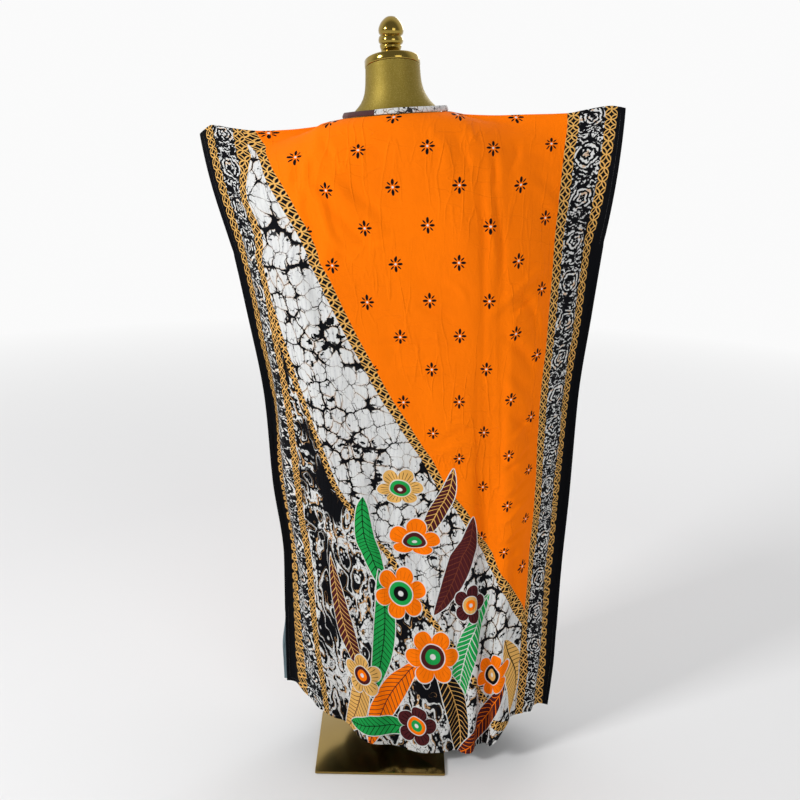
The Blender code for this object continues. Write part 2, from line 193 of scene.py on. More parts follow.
BACK_HEM = table(
    Height,
    (-0.222, 0.143),
    (-0.150, 0.131),
    (-0.100, 0.108),
    (-0.027, 0.060),
    (0.056, 0.040),
    (0.156, 0.032),
    (0.230, 0.036),
    (0.265, 0.062),
    (0.300, 0.103),
    (0.340, 0.107),
    (0.375, 0.090),
    (0.404, 0.082),
)
FRONT_HEM = table(
    Height,
    (-0.222, 0.135),
    (-0.100, 0.085),
    (0.000, 0.048),
    (0.150, 0.036),
    (0.280, 0.052),
    (0.404, 0.082),
)
BACK_DEPTH = table(
    Depth,
    (0.000, 0.084, 0.00, 0.313, 0.8),
    (0.006, 0.094, 0.01, 0.430, 0.8),
    (0.012, 0.101, 0.02, 0.540, 0.9),
    (0.030, 0.114, 0.06, 0.700, 1.1),
    (0.060, 0.126, 0.12, 0.820, 1.2),
    (0.120, 0.134, 0.20, 0.920, 1.2),
    (0.220, 0.134, 0.26, 0.940, 1.0),
    (0.350, 0.128, 0.34, 0.940, 1.0),
    (0.600, 0.118, 0.40, 0.940, 1.0),
    (1.000, 0.106, 0.44, 0.940, 1.0),
)
FRONT_DEPTH = table(
    Depth,
    (0.000, 0.108, 0.00, 0.317, 0.8),
    (0.006, 0.116, 0.01, 0.440, 0.8),
    (0.012, 0.121, 0.02, 0.550, 0.9),
    (0.030, 0.132, 0.06, 0.710, 1.1),
    (0.060, 0.143, 0.12, 0.820, 1.2),
    (0.120, 0.153, 0.20, 0.920, 1.2),
    (0.220, 0.158, 0.28, 0.940, 1.0),
    (0.350, 0.154, 0.36, 0.940, 1.0),
    (0.600, 0.142, 0.40, 0.940, 1.0),
    (1.000, 0.126, 0.44, 0.940, 1.0),
)
BACK_FOLDS = table(
    Fold,
    (0.135, 0.160, 0.20, -0.006, 0.045),
    (0.200, 0.245, 0.14, 0.022, 0.050),
    (0.290, 0.325, 0.45, -0.008, 0.050),
    (0.385, 0.400, 0.60, 0.010, 0.045),
    (0.500, 0.490, 0.62, -0.007, 0.060),
    (0.600, 0.585, 0.70, 0.011, 0.034),
    (0.640, 0.630, 0.45, -0.007, 0.035),
    (0.682, 0.690, 0.10, 0.032, 0.056),
    (0.740, 0.755, 0.40, -0.010, 0.045),
    (0.830, 0.830, 0.55, 0.012, 0.040),
    (0.900, 0.895, 0.60, -0.008, 0.040),
)
FRONT_FOLDS = table(
    Fold,
    (0.180, 0.160, 0.16, 0.024, 0.050),
    (0.260, 0.250, 0.30, -0.019, 0.050),
    (0.340, 0.335, 0.24, 0.032, 0.050),
    (0.430, 0.420, 0.40, -0.022, 0.050),
    (0.505, 0.505, 0.34, 0.032, 0.050),
    (0.590, 0.595, 0.38, -0.022, 0.050),
    (0.675, 0.680, 0.22, 0.035, 0.052),
    (0.760, 0.770, 0.32, -0.019, 0.045),
    (0.840, 0.850, 0.18, 0.024, 0.045),
)
TORSO = table(
    Section,
    (NECK_TOP_Z, NECK_CENTRE_X, 0.0545, 0.0545, 0.0545, 16.5, 5.3, 2.0),
    (1.525, 0.0045, 0.0560, 0.0550, 0.0550, 15.0, 5.5, 2.0),
    (1.503, 0.0065, 0.0600, 0.0560, 0.0570, 13.5, 5.8, 2.0),
    (1.485, 0.0080, 0.0690, 0.0590, 0.0610, 12.0, 6.0, 2.0),
    (1.466, 0.0080, 0.0870, 0.0640, 0.0670, 10.0, 6.0, 2.0),
    (1.4514, 0.0055, 0.1045, 0.0700, 0.0735, 8.5, 4.6, 2.0),
    (1.436, 0.0060, 0.1280, 0.0780, 0.0810, 7.0, 5.5, 2.1),
    (1.412, 0.0060, 0.1590, 0.0880, 0.0900, 5.0, 4.5, 2.2),
    (1.380, 0.0040, 0.1730, 0.0990, 0.0990, 3.0, 3.0, 2.3),
    (1.335, 0.0020, 0.1760, 0.1120, 0.1060, 0.0, 1.0, 2.3),
    (1.280, 0.0000, 0.1680, 0.1250, 0.1090, 0.0, 0.0, 2.3),
    (1.215, 0.0000, 0.1570, 0.1310, 0.1060, 0.0, 0.0, 2.3),
    (1.140, 0.0000, 0.1400, 0.1140, 0.0960, 0.0, 0.0, 2.2),
    (1.060, 0.0000, 0.1250, 0.0940, 0.0840, 0.0, 0.0, 2.2),
    (0.980, 0.0000, 0.1370, 0.0960, 0.0880, 0.0, 0.0, 2.2),
    (0.900, 0.0000, 0.1560, 0.1010, 0.0970, 0.0, 0.0, 2.3),
    (0.830, 0.0000, 0.1620, 0.1000, 0.0980, 0.0, 0.0, 2.3),
    (0.790, 0.0000, 0.1580, 0.0960, 0.0940, 0.0, 0.0, 2.3),
    (0.772, 0.0000, 0.1480, 0.0870, 0.0850, 0.0, 0.0, 2.3),
    (0.766, 0.0000, 0.1360, 0.0770, 0.0750, 0.0, 0.0, 2.3),
)

# Small creases of the back: press marks, pulls from the shoulders, ripples over the body and crumples
BACK_CREASES = table(
    Crease,
    (0.618, 0.010, 0.622, 1.020, 0.0013, 0.0060),
    (0.640, 0.010, 0.641, 0.960, -0.0010, 0.0060),
    (0.658, 0.020, 0.655, 0.800, 0.0010, 0.0070),
    (0.300, 0.120, 0.385, 0.260, 0.0030, 0.0140),
    (0.330, 0.100, 0.410, 0.230, -0.0020, 0.0120),
    (0.545, 0.012, 0.610, 0.110, 0.0026, 0.0110),
    (0.520, 0.015, 0.560, 0.120, -0.0018, 0.0110),
    (0.262, 0.200, 0.290, 0.420, 0.0030, 0.0130),
    (0.225, 0.240, 0.262, 0.520, -0.0022, 0.0130),
    (0.200, 0.120, 0.245, 0.300, 0.0024, 0.0120),
    (0.150, 0.060, 0.205, 0.240, 0.0030, 0.0140),
    (0.690, 0.350, 0.745, 0.470, 0.0026, 0.0100),
    (0.665, 0.430, 0.735, 0.560, 0.0030, 0.0110),
    (0.660, 0.520, 0.725, 0.640, -0.0022, 0.0100),
    (0.672, 0.600, 0.740, 0.720, 0.0026, 0.0110),
    (0.650, 0.690, 0.715, 0.800, 0.0024, 0.0100),
    (0.420, 0.300, 0.600, 0.345, 0.0016, 0.0160),
    (0.400, 0.520, 0.560, 0.500, -0.0016, 0.0170),
    (0.440, 0.700, 0.610, 0.740, 0.0020, 0.0160),
    (0.380, 0.620, 0.410, 0.900, 0.0028, 0.0140),
    (0.455, 0.860, 0.470, 1.250, 0.0030, 0.0150),
    (0.330, 0.700, 0.352, 1.150, -0.0030, 0.0160),
    (0.280, 0.900, 0.300, 1.420, 0.0036, 0.0150),
    (0.520, 1.000, 0.515, 1.440, -0.0030, 0.0140),
    (0.575, 1.060, 0.560, 1.445, 0.0034, 0.0130),
    (0.700, 0.900, 0.705, 1.400, 0.0030, 0.0130),
    (0.745, 0.980, 0.752, 1.430, -0.0028, 0.0120),
    (0.820, 0.200, 0.826, 0.620, 0.0018, 0.0120),
    (0.860, 0.700, 0.858, 1.250, -0.0020, 0.0120),
    (0.095, 0.500, 0.105, 1.000, 0.0020, 0.0120),
    (0.060, 0.950, 0.072, 1.350, -0.0024, 0.0120),
    (0.400, 1.150, 0.430, 1.440, 0.0034, 0.0140),
    (0.230, 1.120, 0.215, 1.440, -0.0030, 0.0140),
    (0.660, 0.050, 0.780, 0.100, 0.0020, 0.0130),
    (0.700, 0.120, 0.800, 0.200, -0.0018, 0.0130),
    (0.350, 0.030, 0.440, 0.080, 0.0016, 0.0120),
    (0.320, 0.025, 0.325, 0.080, 0.0018, 0.0074),
    (0.270, 0.070, 0.305, 0.160, -0.0026, 0.0082),
    (0.305, 0.150, 0.315, 0.275, -0.0024, 0.0078),
    (0.255, 0.075, 0.265, 0.130, 0.0018, 0.0074),
    (0.260, 0.120, 0.265, 0.200, -0.0020, 0.0074),
    (0.305, 0.230, 0.345, 0.285, 0.0014, 0.0070),
    (0.290, 0.075, 0.295, 0.165, 0.0016, 0.0074),
    (0.225, 0.045, 0.250, 0.115, -0.0014, 0.0074),
    (0.560, 0.020, 0.620, 0.070, 0.0018, 0.0078),
    (0.655, 0.055, 0.640, 0.150, 0.0018, 0.0070),
    (0.640, 0.140, 0.635, 0.330, -0.0018, 0.0070),
    (0.700, 0.050, 0.690, 0.110, 0.0014, 0.0070),
    (0.765, 0.310, 0.620, 0.395, -0.0020, 0.0082),
    (0.730, 0.365, 0.665, 0.410, 0.0018, 0.0074),
    (0.480, 0.365, 0.545, 0.410, 0.0014, 0.0074),
    (0.535, 0.325, 0.585, 0.365, -0.0012, 0.0070),
    (0.600, 0.365, 0.615, 0.960, 0.0011, 0.0074),
    (0.645, 0.005, 0.605, 0.365, 0.0010, 0.0074),
    (0.625, 0.625, 0.645, 0.960, -0.0010, 0.0074),
    (0.515, 0.665, 0.600, 0.645, 0.0014, 0.0074),
    (0.490, 0.695, 0.585, 0.685, -0.0012, 0.0070),
    (0.670, 0.675, 0.750, 0.675, -0.0016, 0.0074),
    (0.655, 0.745, 0.750, 0.735, 0.0016, 0.0074),
    (0.655, 0.865, 0.745, 0.860, -0.0016, 0.0074),
    (0.655, 0.815, 0.745, 0.805, 0.0014, 0.0070),
    (0.665, 0.925, 0.740, 0.930, 0.0016, 0.0074),
    (0.680, 0.975, 0.735, 0.990, -0.0014, 0.0070),
    (0.355, 0.445, 0.585, 0.475, 0.0012, 0.0078),
    (0.325, 0.255, 0.505, 0.240, -0.0010, 0.0082),
)
FRONT_CREASES = table(
    Crease,
    (0.300, 0.120, 0.360, 0.300, 0.0030, 0.0140),
    (0.600, 0.110, 0.560, 0.280, 0.0028, 0.0140),
    (0.200, 0.100, 0.270, 0.330, -0.0024, 0.0140),
    (0.720, 0.100, 0.660, 0.320, 0.0026, 0.0130),
    (0.380, 0.330, 0.560, 0.320, 0.0020, 0.0170),
    (0.340, 0.400, 0.400, 0.700, 0.0034, 0.0150),
    (0.560, 0.420, 0.530, 0.760, -0.0030, 0.0150),
    (0.450, 0.500, 0.470, 0.900, 0.0030, 0.0150),
    (0.240, 0.500, 0.260, 0.960, -0.0030, 0.0150),
    (0.660, 0.480, 0.690, 0.960, 0.0030, 0.0140),
    (0.150, 0.600, 0.165, 1.100, 0.0024, 0.0140),
    (0.780, 0.550, 0.790, 1.100, -0.0026, 0.0140),
    (0.320, 0.900, 0.300, 1.420, 0.0034, 0.0150),
    (0.500, 0.950, 0.510, 1.430, -0.0032, 0.0150),
    (0.600, 1.000, 0.585, 1.430, 0.0032, 0.0140),
    (0.730, 1.050, 0.745, 1.420, -0.0030, 0.0140),
    (0.420, 1.080, 0.400, 1.430, -0.0030, 0.0140),
    (0.850, 0.900, 0.845, 1.350, 0.0026, 0.0130),
    (0.080, 0.880, 0.095, 1.350, 0.0024, 0.0130),
)

# The print on the back: its lines' places, and how the lower cloth takes up length
BACK_EASE = table(
    Ease,
    (0.00, 0.015, 0.032, 0.079, 0.100, 0.254, 0.318, 0.514, 0.715, 0.812, 0.835, 0.882, 0.906),
    (0.06, 0.015, 0.031, 0.079, 0.113, 0.254, 0.318, 0.514, 0.714, 0.807, 0.830, 0.882, 0.904),
    (0.14, 0.014, 0.029, 0.081, 0.120, 0.257, 0.319, 0.512, 0.704, 0.798, 0.823, 0.881, 0.902),
    (0.22, 0.013, 0.027, 0.092, 0.132, 0.258, 0.316, 0.504, 0.695, 0.789, 0.815, 0.877, 0.898),
    (0.31, 0.015, 0.030, 0.121, 0.146, 0.250, 0.313, 0.502, 0.689, 0.779, 0.804, 0.872, 0.893),
    (0.40, 0.016, 0.028, 0.132, 0.153, 0.247, 0.308, 0.501, 0.685, 0.772, 0.798, 0.871, 0.895),
    (0.50, 0.015, 0.024, 0.138, 0.158, 0.248, 0.306, 0.500, 0.680, 0.766, 0.793, 0.873, 0.898),
    (0.60, 0.018, 0.026, 0.143, 0.163, 0.249, 0.305, 0.500, 0.677, 0.760, 0.786, 0.872, 0.898),
    (0.72, 0.024, 0.033, 0.152, 0.170, 0.252, 0.305, 0.499, 0.677, 0.758, 0.783, 0.862, 0.896),
    (0.84, 0.017, 0.060, 0.157, 0.175, 0.256, 0.308, 0.498, 0.679, 0.759, 0.783, 0.850, 0.894),
    (0.96, 0.020, 0.082, 0.156, 0.175, 0.256, 0.308, 0.498, 0.676, 0.760, 0.782, 0.846, 0.893),
    (1.10, 0.021, 0.083, 0.150, 0.169, 0.251, 0.305, 0.497, 0.670, 0.756, 0.776, 0.829, 0.894),
    (1.22, 0.024, 0.085, 0.156, 0.170, 0.251, 0.304, 0.495, 0.666, 0.753, 0.777, 0.826, 0.894),
    (1.34, 0.030, 0.089, 0.160, 0.174, 0.251, 0.301, 0.495, 0.671, 0.769, 0.792, 0.848, 0.898),
    (1.46, 0.046, 0.092, 0.162, 0.176, 0.251, 0.300, 0.495, 0.680, 0.776, 0.796, 0.866, 0.904),
)
PRINT_LINES = (0.008, 0.028, 0.053, 0.110, 0.135, 0.235, 0.300,
               0.495, 0.690, 0.785, 0.810, 0.867, 0.892, 0.920)
DOWN_CLOTH = (0.0, 0.005, 0.061, 0.44, 0.51, 0.583, 0.653,
              0.71, 0.781, 0.83, 0.904, 0.942, 1.023, 1.46)
DOWN_PRINT = (-0.0223, -0.0155, 0.061, 0.443, 0.520, 0.5965, 0.673,
              0.7495, 0.826, 0.9025, 0.979, 1.0555, 1.132, 1.57)


class Side(Enum):
    """The two cloth panels, by the way each one faces."""

    BACK = -1
    FRONT = 1


class Slot(Enum):
    """The record's finishes."""

    BATIK = "batik_cloth"
    PLAIN = "binding_plain"
    CRACKLE = "binding_print"
    FORM = "form_gold"
    CAP = "cap_gold"
    STAND = "stand_gold"


Tint = tuple[float, float, float, float]


def linear(code: str) -> Tint:
    """Scene-linear colour of a dye.

    Args:
        code: six hexadecimal digits of its screen colour.

    Returns:
        Red, green, blue and an opaque alpha.
    """
    parts = [int(code[i:i + 2], 16) / 255 for i in (0, 2, 4)]
    red, green, blue = (c / 12.92 if c <= 0.04045 else ((c + 0.055) / 1.055) ** 2.4 for c in parts)
    return red, green, blue, 1.0


class Dye(Enum):
    """Colours of the print, the threads and the wrong side."""

    ORANGE = linear("FA7600")
    DEEP_ORANGE = linear("E06404")
    GOLD = linear("DDAA5C")
    TAN = linear("C79A66")
    WHITE = linear("D6D7D6")
    SHADE = linear("BFC0C2")
    BLACK = linear("0A0B0F")
    MAROON = linear("4A1C1F")
    BROWN = linear("6B3324")
    GREEN = linear("1C9A48")
    WRONG = linear("8CA2AA")
    PLAIN = linear("3B1719")
    THREAD = linear("17181C")


def smooth_curve(rows: Sequence[NamedTuple], key: str, column: str, at: np.ndarray | float) -> np.ndarray:
    """A table's column on a smooth curve that never passes its own points.

    Args:
        rows: the table.
        key: name of its key column.
        column: name of the column that is wanted.
        at: values of the key.

    Returns:
        The column's values there.
    """
    keys = np.array([getattr(row, key) for row in rows])
    values = np.array([getattr(row, column) for row in rows])
    rises = np.diff(values) / np.diff(keys)
    slopes = np.concatenate(([rises[0]], np.zeros(len(keys) - 2), [rises[-1]]))
    before, after = rises[:-1], rises[1:]
    same = before * after > 0
    slopes[1:-1][same] = 2 * before[same] * after[same] / (before[same] + after[same])
    where = np.clip(np.asarray(at, float), keys[0], keys[-1])
    i = np.clip(np.searchsorted(keys, where, side="right") - 1, 0, len(keys) - 2)
    run = keys[i + 1] - keys[i]
    u = (where - keys[i]) / run
    start = (2 * u**3 - 3 * u**2 + 1) * values[i] + (u**3 - 2 * u**2 + u) * run * slopes[i]
    return start + (3 * u**2 - 2 * u**3) * values[i + 1] + (u**3 - u**2) * run * slopes[i + 1]


def row_at(rows: Sequence[NamedTuple], at: float) -> list[float]:
    """Every column of a table but its key, at one value of the key."""
    key, *columns = rows[0]._fields
    return [float(smooth_curve(rows, key, column, at)) for column in columns]


def ease(value: np.ndarray | float) -> np.ndarray:
    """Smooth step from 0 to 1."""
    value = np.clip(value, 0.0, 1.0)
    return value * value * (3.0 - 2.0 * value)


@dataclass(frozen=True)
class PanelShape:
    """Hung shape of a panel: across is 0 to 1 from its -X edge, fall 0 to 1 from shoulder to hem."""

    side: Side
    depths: tuple[Depth, ...]
    folds: tuple[Fold, ...]
    hem: tuple[Height, ...]
    samples: int = 600

    @property
    def spread(self) -> np.ndarray:
        """Even places across the cloth."""
        return np.linspace(0.0, 1.0, self.samples + 1)

    def shoulder_z(self, x: np.ndarray) -> np.ndarray:
        """Height of the top edge; the front neckline is scooped.

        Args:
            x: places along the top edge.

        Returns:
            Heights there.
        """
        z = smooth_curve(SHOULDER_LINE, "x", "z", x)
        if self.side is Side.FRONT:
            across_neck = np.clip((x - NECK_LEFT_X) / (NECK_RIGHT_X - NECK_LEFT_X), 0.0, 1.0)
            z = z - FRONT_NECK_DROP * np.sin(np.pi * across_neck) ** FRONT_NECK_ROUND
        return z

    def edge_gap(self, fall: float) -> float:
        """Distance of a side edge from the seam line, open at the cuff and at the hem slit.

        Args:
            fall: how far down the panel.

        Returns:
            The distance in metres.
        """
        cuff = math.sin(math.pi * fall / CUFF_FALL) ** 0.7 if 0 < fall < CUFF_FALL else 0.0
        slit = float(ease((fall - SLIT_FALL) / (1 - SLIT_FALL)))
        return PANEL_GAP / 2 + CUFF_OPEN / 2 * cuff + SLIT_OPEN / 2 * slit

    def row(self, fall: float) -> tuple[np.ndarray, np.ndarray]:
        """Plan curve at one fall, for evenly spaced places across the cloth.

        Args:
            fall: how far down the panel.

        Returns:
            Arrays of x and of y.
        """
        sign = self.side.value
        left_x, left_y, swing, right_x, right_y = row_at(OUTLINE, fall)
        if self.side is Side.FRONT:
            left_x -= SLIT_OVERHANG * float(ease((fall - SLIT_FALL) / (1 - SLIT_FALL) * 2))
        across = self.spread
        depth, full, thin, bend = row_at(self.depths, fall)
        body = BODY_ACROSS
        reach = np.where(across < body, (body - across) / body, (across - body) / (1 - body))
        arch = np.sin(np.pi / 2 * np.clip((thin - reach) / (thin - full), 0.0, 1.0)) ** bend
        tip = np.clip(1.0 - across / WING_TIP, 0.0, 1.0) ** 2
        edge = left_y + (right_y - left_y) * across + swing * tip + sign * self.edge_gap(fall)
        folds = np.zeros_like(across)
        for fold in self.folds:
            middle = fold.top_across + (fold.hem_across - fold.top_across) * fall
            near = np.clip(np.abs(across - middle) / fold.half_width, 0.0, 1.0)
            growth = max(fall - fold.starts, 0.0) / (1 - fold.starts)
            folds += fold.depth * growth * 0.5 * (1 + np.cos(np.pi * near))
        y = edge * (1 - arch) + sign * (depth * arch - folds)
        slope = np.clip(np.abs(np.gradient(y, across)) / CUT_WIDTH, 0.0, math.sqrt(1 - STEEPEST_CLOTH**2))
        width = np.sqrt(1.0 - slope**2)
        walked = np.concatenate(([0.0], np.cumsum((width[1:] + width[:-1]) / 2)))
        return left_x + (right_x - left_x) * walked / walked[-1], y

    def grid(self, across: np.ndarray, falls: np.ndarray) -> np.ndarray:
        """Points of the panel's inner face.

        Args:
            across: places across the cloth.
            falls: places down the cloth.

        Returns:
            Rows by columns by x, y, z.
        """
        at = self.spread
        top = self.shoulder_z(np.interp(across, at, self.row(0.0)[0]))
        hem = smooth_curve(self.hem, "x", "z", np.interp(across, at, self.row(1.0)[0]))
        points = np.empty((len(falls), len(across), 3))
        for j, fall in enumerate(falls):
            x, y = self.row(float(fall))
            points[j, :, 0] = np.interp(across, at, x)
            points[j, :, 1] = np.interp(across, at, y)
            points[j, :, 2] = top + (hem - top) * fall
        return points


BACK_SHAPE = PanelShape(Side.BACK, BACK_DEPTH, BACK_FOLDS, BACK_HEM)
FRONT_SHAPE = PanelShape(Side.FRONT, FRONT_DEPTH, FRONT_FOLDS, FRONT_HEM)


class Field:
    """A number that varies over a surface, held as a socket of a node tree."""

    def __init__(self, pen: "Pen", socket: bpy.types.NodeSocket) -> None:
        """Keep the tree's pen and the socket."""
        self.pen = pen
        self.socket = socket

    def __add__(self, other: "Field | float") -> "Field":
        """Sum."""
        return self.pen.math("ADD", self, other)

    def __sub__(self, other: "Field | float") -> "Field":
        """Difference."""
        return self.pen.math("SUBTRACT", self, other)

    def __rsub__(self, other: float) -> "Field":
        """Difference from a number."""
        return self.pen.math("SUBTRACT", other, self)

    def __mul__(self, other: "Field | float") -> "Field":
        """Product."""
        return self.pen.math("MULTIPLY", self, other)

    def __truediv__(self, other: "Field | float") -> "Field":
        """Quotient."""
        return self.pen.math("DIVIDE", self, other)

    def __abs__(self) -> "Field":
        """Size without sign."""
        return self.pen.math("ABSOLUTE", self)

    def power(self, exponent: float) -> "Field":
        """This number to a power."""
        return self.pen.math("POWER", self, exponent)

    def sine(self) -> "Field":
        """Sine of this angle."""
        return self.pen.math("SINE", self)

    def hypot(self, other: "Field") -> "Field":
        """Distance from two legs."""
        return self.pen.math("SQRT", self * self + other * other)

    def wrap(self, period: float) -> "Field":
        """Remainder, from 0 to a period."""
        return self.pen.math("FLOORED_MODULO", self, period)

    def least(self, other: "Field | float") -> "Field":
        """The smaller of two numbers."""
        return self.pen.math("MINIMUM", self, other)

    def most(self, other: "Field | float") -> "Field":
        """The larger of two numbers."""
        return self.pen.math("MAXIMUM", self, other)

    def below(self, edge: "Field | float", soft: float) -> "Field":
        """Mask of where this number is below an edge.

        Args:
            edge: the edge's value.
            soft: width of the mask's soft border.

        Returns:
            1 below the edge, 0 above it.
        """
        if isinstance(edge, Field):
            return self.pen.clamp((edge - self) / soft + 0.5)
        return self.pen.clamp(self * (-1 / soft) + (edge / soft + 0.5))

    def above(self, edge: "Field | float", soft: float) -> "Field":
        """Mask of where this number is above an edge.

        Args:
            edge: the edge's value.
            soft: width of the mask's soft border.

        Returns:
            1 above the edge, 0 below it.
        """
        if isinstance(edge, Field):
            return self.pen.clamp((self - edge) / soft + 0.5)
        return self.pen.clamp(self * (1 / soft) + (0.5 - edge / soft))


class Pen:
    """Draws with nodes in one node tree."""

    def __init__(self, tree: bpy.types.NodeTree) -> None:
        """Keep the tree."""
        self.tree = tree

    def node(self, kind: str, **settings: object) -> bpy.types.Node:
        """A new node with its settings.

        Args:
            kind: the node's type name.
            settings: its properties.

        Returns:
            The node.
        """
        node = self.tree.nodes.new(kind)
        for name, value in settings.items():
            setattr(node, name, value)
        return node

    def feed(self, socket: bpy.types.NodeSocket, value: "Field | float") -> None:
        """Link a field to a socket, or set a plain value on it.

        Args:
            socket: the input.
            value: what it gets.
        """
        if isinstance(value, Field):
            self.tree.links.new(value.socket, socket)
        else:
            socket.default_value = value

    def math(self, operation: str, *values: "Field | float") -> Field:
        """One sum of one to three numbers.

        Args:
            operation: the Math node's operation.
            values: its inputs.

        Returns:
            The result.
        """
        node = self.node("ShaderNodeMath", operation=operation)
        for socket, value in zip(node.inputs, values):
            self.feed(socket, value)
        return Field(self, node.outputs[0])

    def clamp(self, value: Field) -> Field:
        """The number held between 0 and 1."""
        value.socket.node.use_clamp = True
        return value

    def affine(self, x: Field, y: Field, a: float, b: float, c: float) -> Field:
        """The number a x + b y + c, from two nodes."""
        return self.math("MULTIPLY_ADD", x, a, self.math("MULTIPLY_ADD", y, b, c))

    def place(self, x: Field, y: Field) -> Field:
        """A vector of two numbers."""
        node = self.node("ShaderNodeCombineXYZ")
        self.feed(node.inputs[0], x)
        self.feed(node.inputs[1], y)
        return Field(self, node.outputs[0])

    def scaled(self, place: Field, scale: tuple[float, float], shift: float = 0.0) -> Field:
        """A place's vector, scaled along each axis and shifted."""
        node = self.node("ShaderNodeVectorMath", operation="MULTIPLY_ADD")
        self.feed(node.inputs[0], place)
        node.inputs[1].default_value = (scale[0], scale[1], 1.0)
        node.inputs[2].default_value = (shift, shift * 0.7, 0.0)
        return Field(self, node.outputs[0])

    def noise(self, place: Field, scale: tuple[float, float], detail: float = 2.0, rough: float = 0.5,
              shift: float = 0.0) -> Field:
        """Soft uneven tone from 0 to 1.

        Args:
            place: the surface place, in metres.
            scale: patches to a metre along each axis.
            detail: how many finer layers it has.
            rough: how strong they are.
            shift: moves the pattern.

        Returns:
            The tone.
        """
        node = self.node("ShaderNodeTexNoise", noise_dimensions="2D")
        moved = self.scaled(place, scale, shift)
        self.fill(node, {"Vector": moved, "Scale": 1.0, "Detail": detail, "Roughness": rough})
        return Field(self, node.outputs[0])

    def cells(self, place: Field, scale: tuple[float, float], feature: str, shift: float = 0.0) -> Field:
        """Distances in a pattern of cells.

        Args:
            place: the surface place, in metres.
            scale: cells to a metre along each axis.
            feature: the Voronoi feature that is measured.
            shift: moves the pattern.

        Returns:
            The distance, in cells.
        """
        node = self.node("ShaderNodeTexVoronoi", voronoi_dimensions="2D", feature=feature)
        self.fill(node, {"Vector": self.scaled(place, scale, shift), "Scale": 1.0})
        return Field(self, node.outputs["Distance"])

    def curve(self, value: Field, points: Sequence[tuple[float, float]]) -> Field:
        """A number read off a smooth curve.

        Args:
            value: the place along the curve, 0 to 1.
            points: the curve's points.

        Returns:
            The curve's height there.
        """
        node = self.node("ShaderNodeFloatCurve")
        curve = node.mapping.curves[0]
        curve.points[0].location = points[0]
        curve.points[1].location = points[-1]
        for point in points[1:-1]:
            curve.points.new(*point)
        node.mapping.update()
        self.feed(node.inputs["Value"], value)
        return Field(self, node.outputs[0])

    def fill(self, node: bpy.types.Node, values: dict[str, "Field | float | tuple[float, ...]"]) -> None:
        """Feed a node's inputs by name."""
        for name, value in values.items():
            self.feed(node.inputs[name], value)

    def cloth_place(self) -> Field:
        """The surface's place on the flat cloth."""
        return Field(self, self.node("ShaderNodeUVMap", uv_map="Cloth").outputs[0])

    def solid_place(self) -> Field:
        """The surface's place in the piece's own space."""
        return Field(self, self.node("ShaderNodeTexCoord").outputs["Object"])

    def split(self, place: Field) -> list[Field]:
        """The x, y and z of a place."""
        node = self.node("ShaderNodeSeparateXYZ")
        self.feed(node.inputs[0], place)
        return [Field(self, socket) for socket in node.outputs]

    def relief(self, shader: bpy.types.Node, height: Field, strength: float = 1.0) -> None:
        """Give a shader a fine relief.

        Args:
            shader: what gets it.
            height: its height, in metres.
            strength: how much of it shows.
        """
        bump = self.node("ShaderNodeBump")
        self.fill(bump, {"Strength": strength, "Distance": 1.0, "Height": height})
        self.tree.links.new(bump.outputs[0], shader.inputs["Normal"])

    def paint(self, base: "Field | Dye | Tint", dye: "Field | Dye | Tint", mask: Field) -> Field:
        """Paint one colour over another.

        Args:
            base: the ground.
            dye: the colour that goes over it.
            mask: where it goes, 0 to 1.

        Returns:
            The painted colour.
        """
        node = self.node("ShaderNodeMix", data_type="RGBA")
        self.feed(node.inputs[0], mask)
        self.feed(node.inputs[6], base.value if isinstance(base, Dye) else base)
        self.feed(node.inputs[7], dye.value if isinstance(dye, Dye) else dye)
        return Field(self, node.outputs[2])


class Leaf(NamedTuple):
    """A long leaf of the printed spray, in metres of the print."""

    p: float
    q: float
    turn: float
    half_length: float
    half_width: float
    bend: float
    body: Dye
    vein: Dye


class Blossom(NamedTuple):
    """A large flower of the printed spray, in metres of the print."""

    p: float
    q: float
    radius: float
    petals: int
    turn: float
    petal: Dye
    ring: Dye
    heart: Dye


SPRAY_LEAVES = table(
    Leaf,
    (0.345, 1.010, -98.0, 0.150, 0.026, -0.020, Dye.GREEN, Dye.BLACK),
    (0.500, 0.880, -66.0, 0.115, 0.024, 0.016, Dye.MAROON, Dye.GOLD),
    (0.540, 1.060, -68.0, 0.150, 0.032, 0.024, Dye.MAROON, Dye.BROWN),
    (0.250, 1.240, -106.0, 0.160, 0.030, -0.022, Dye.MAROON, Dye.GOLD),
    (0.330, 1.260, -84.0, 0.170, 0.030, 0.022, Dye.GREEN, Dye.BLACK),
    (0.600, 1.310, -70.0, 0.165, 0.034, -0.024, Dye.GREEN, Dye.WHITE),
    (0.245, 1.470, -68.0, 0.130, 0.034, 0.018, Dye.GOLD, Dye.MAROON),
    (0.370, 1.450, -60.0, 0.150, 0.034, -0.020, Dye.ORANGE, Dye.MAROON),
    (0.520, 1.460, -104.0, 0.150, 0.034, 0.024, Dye.BLACK, Dye.GOLD),
    (0.635, 1.490, -44.0, 0.125, 0.032, 0.018, Dye.MAROON, Dye.ORANGE),
    (0.735, 1.420, -98.0, 0.135, 0.028, 0.018, Dye.GOLD, Dye.BLACK),
    (0.330, 1.530, -10.0, 0.110, 0.028, -0.014, Dye.GREEN, Dye.BLACK),
)
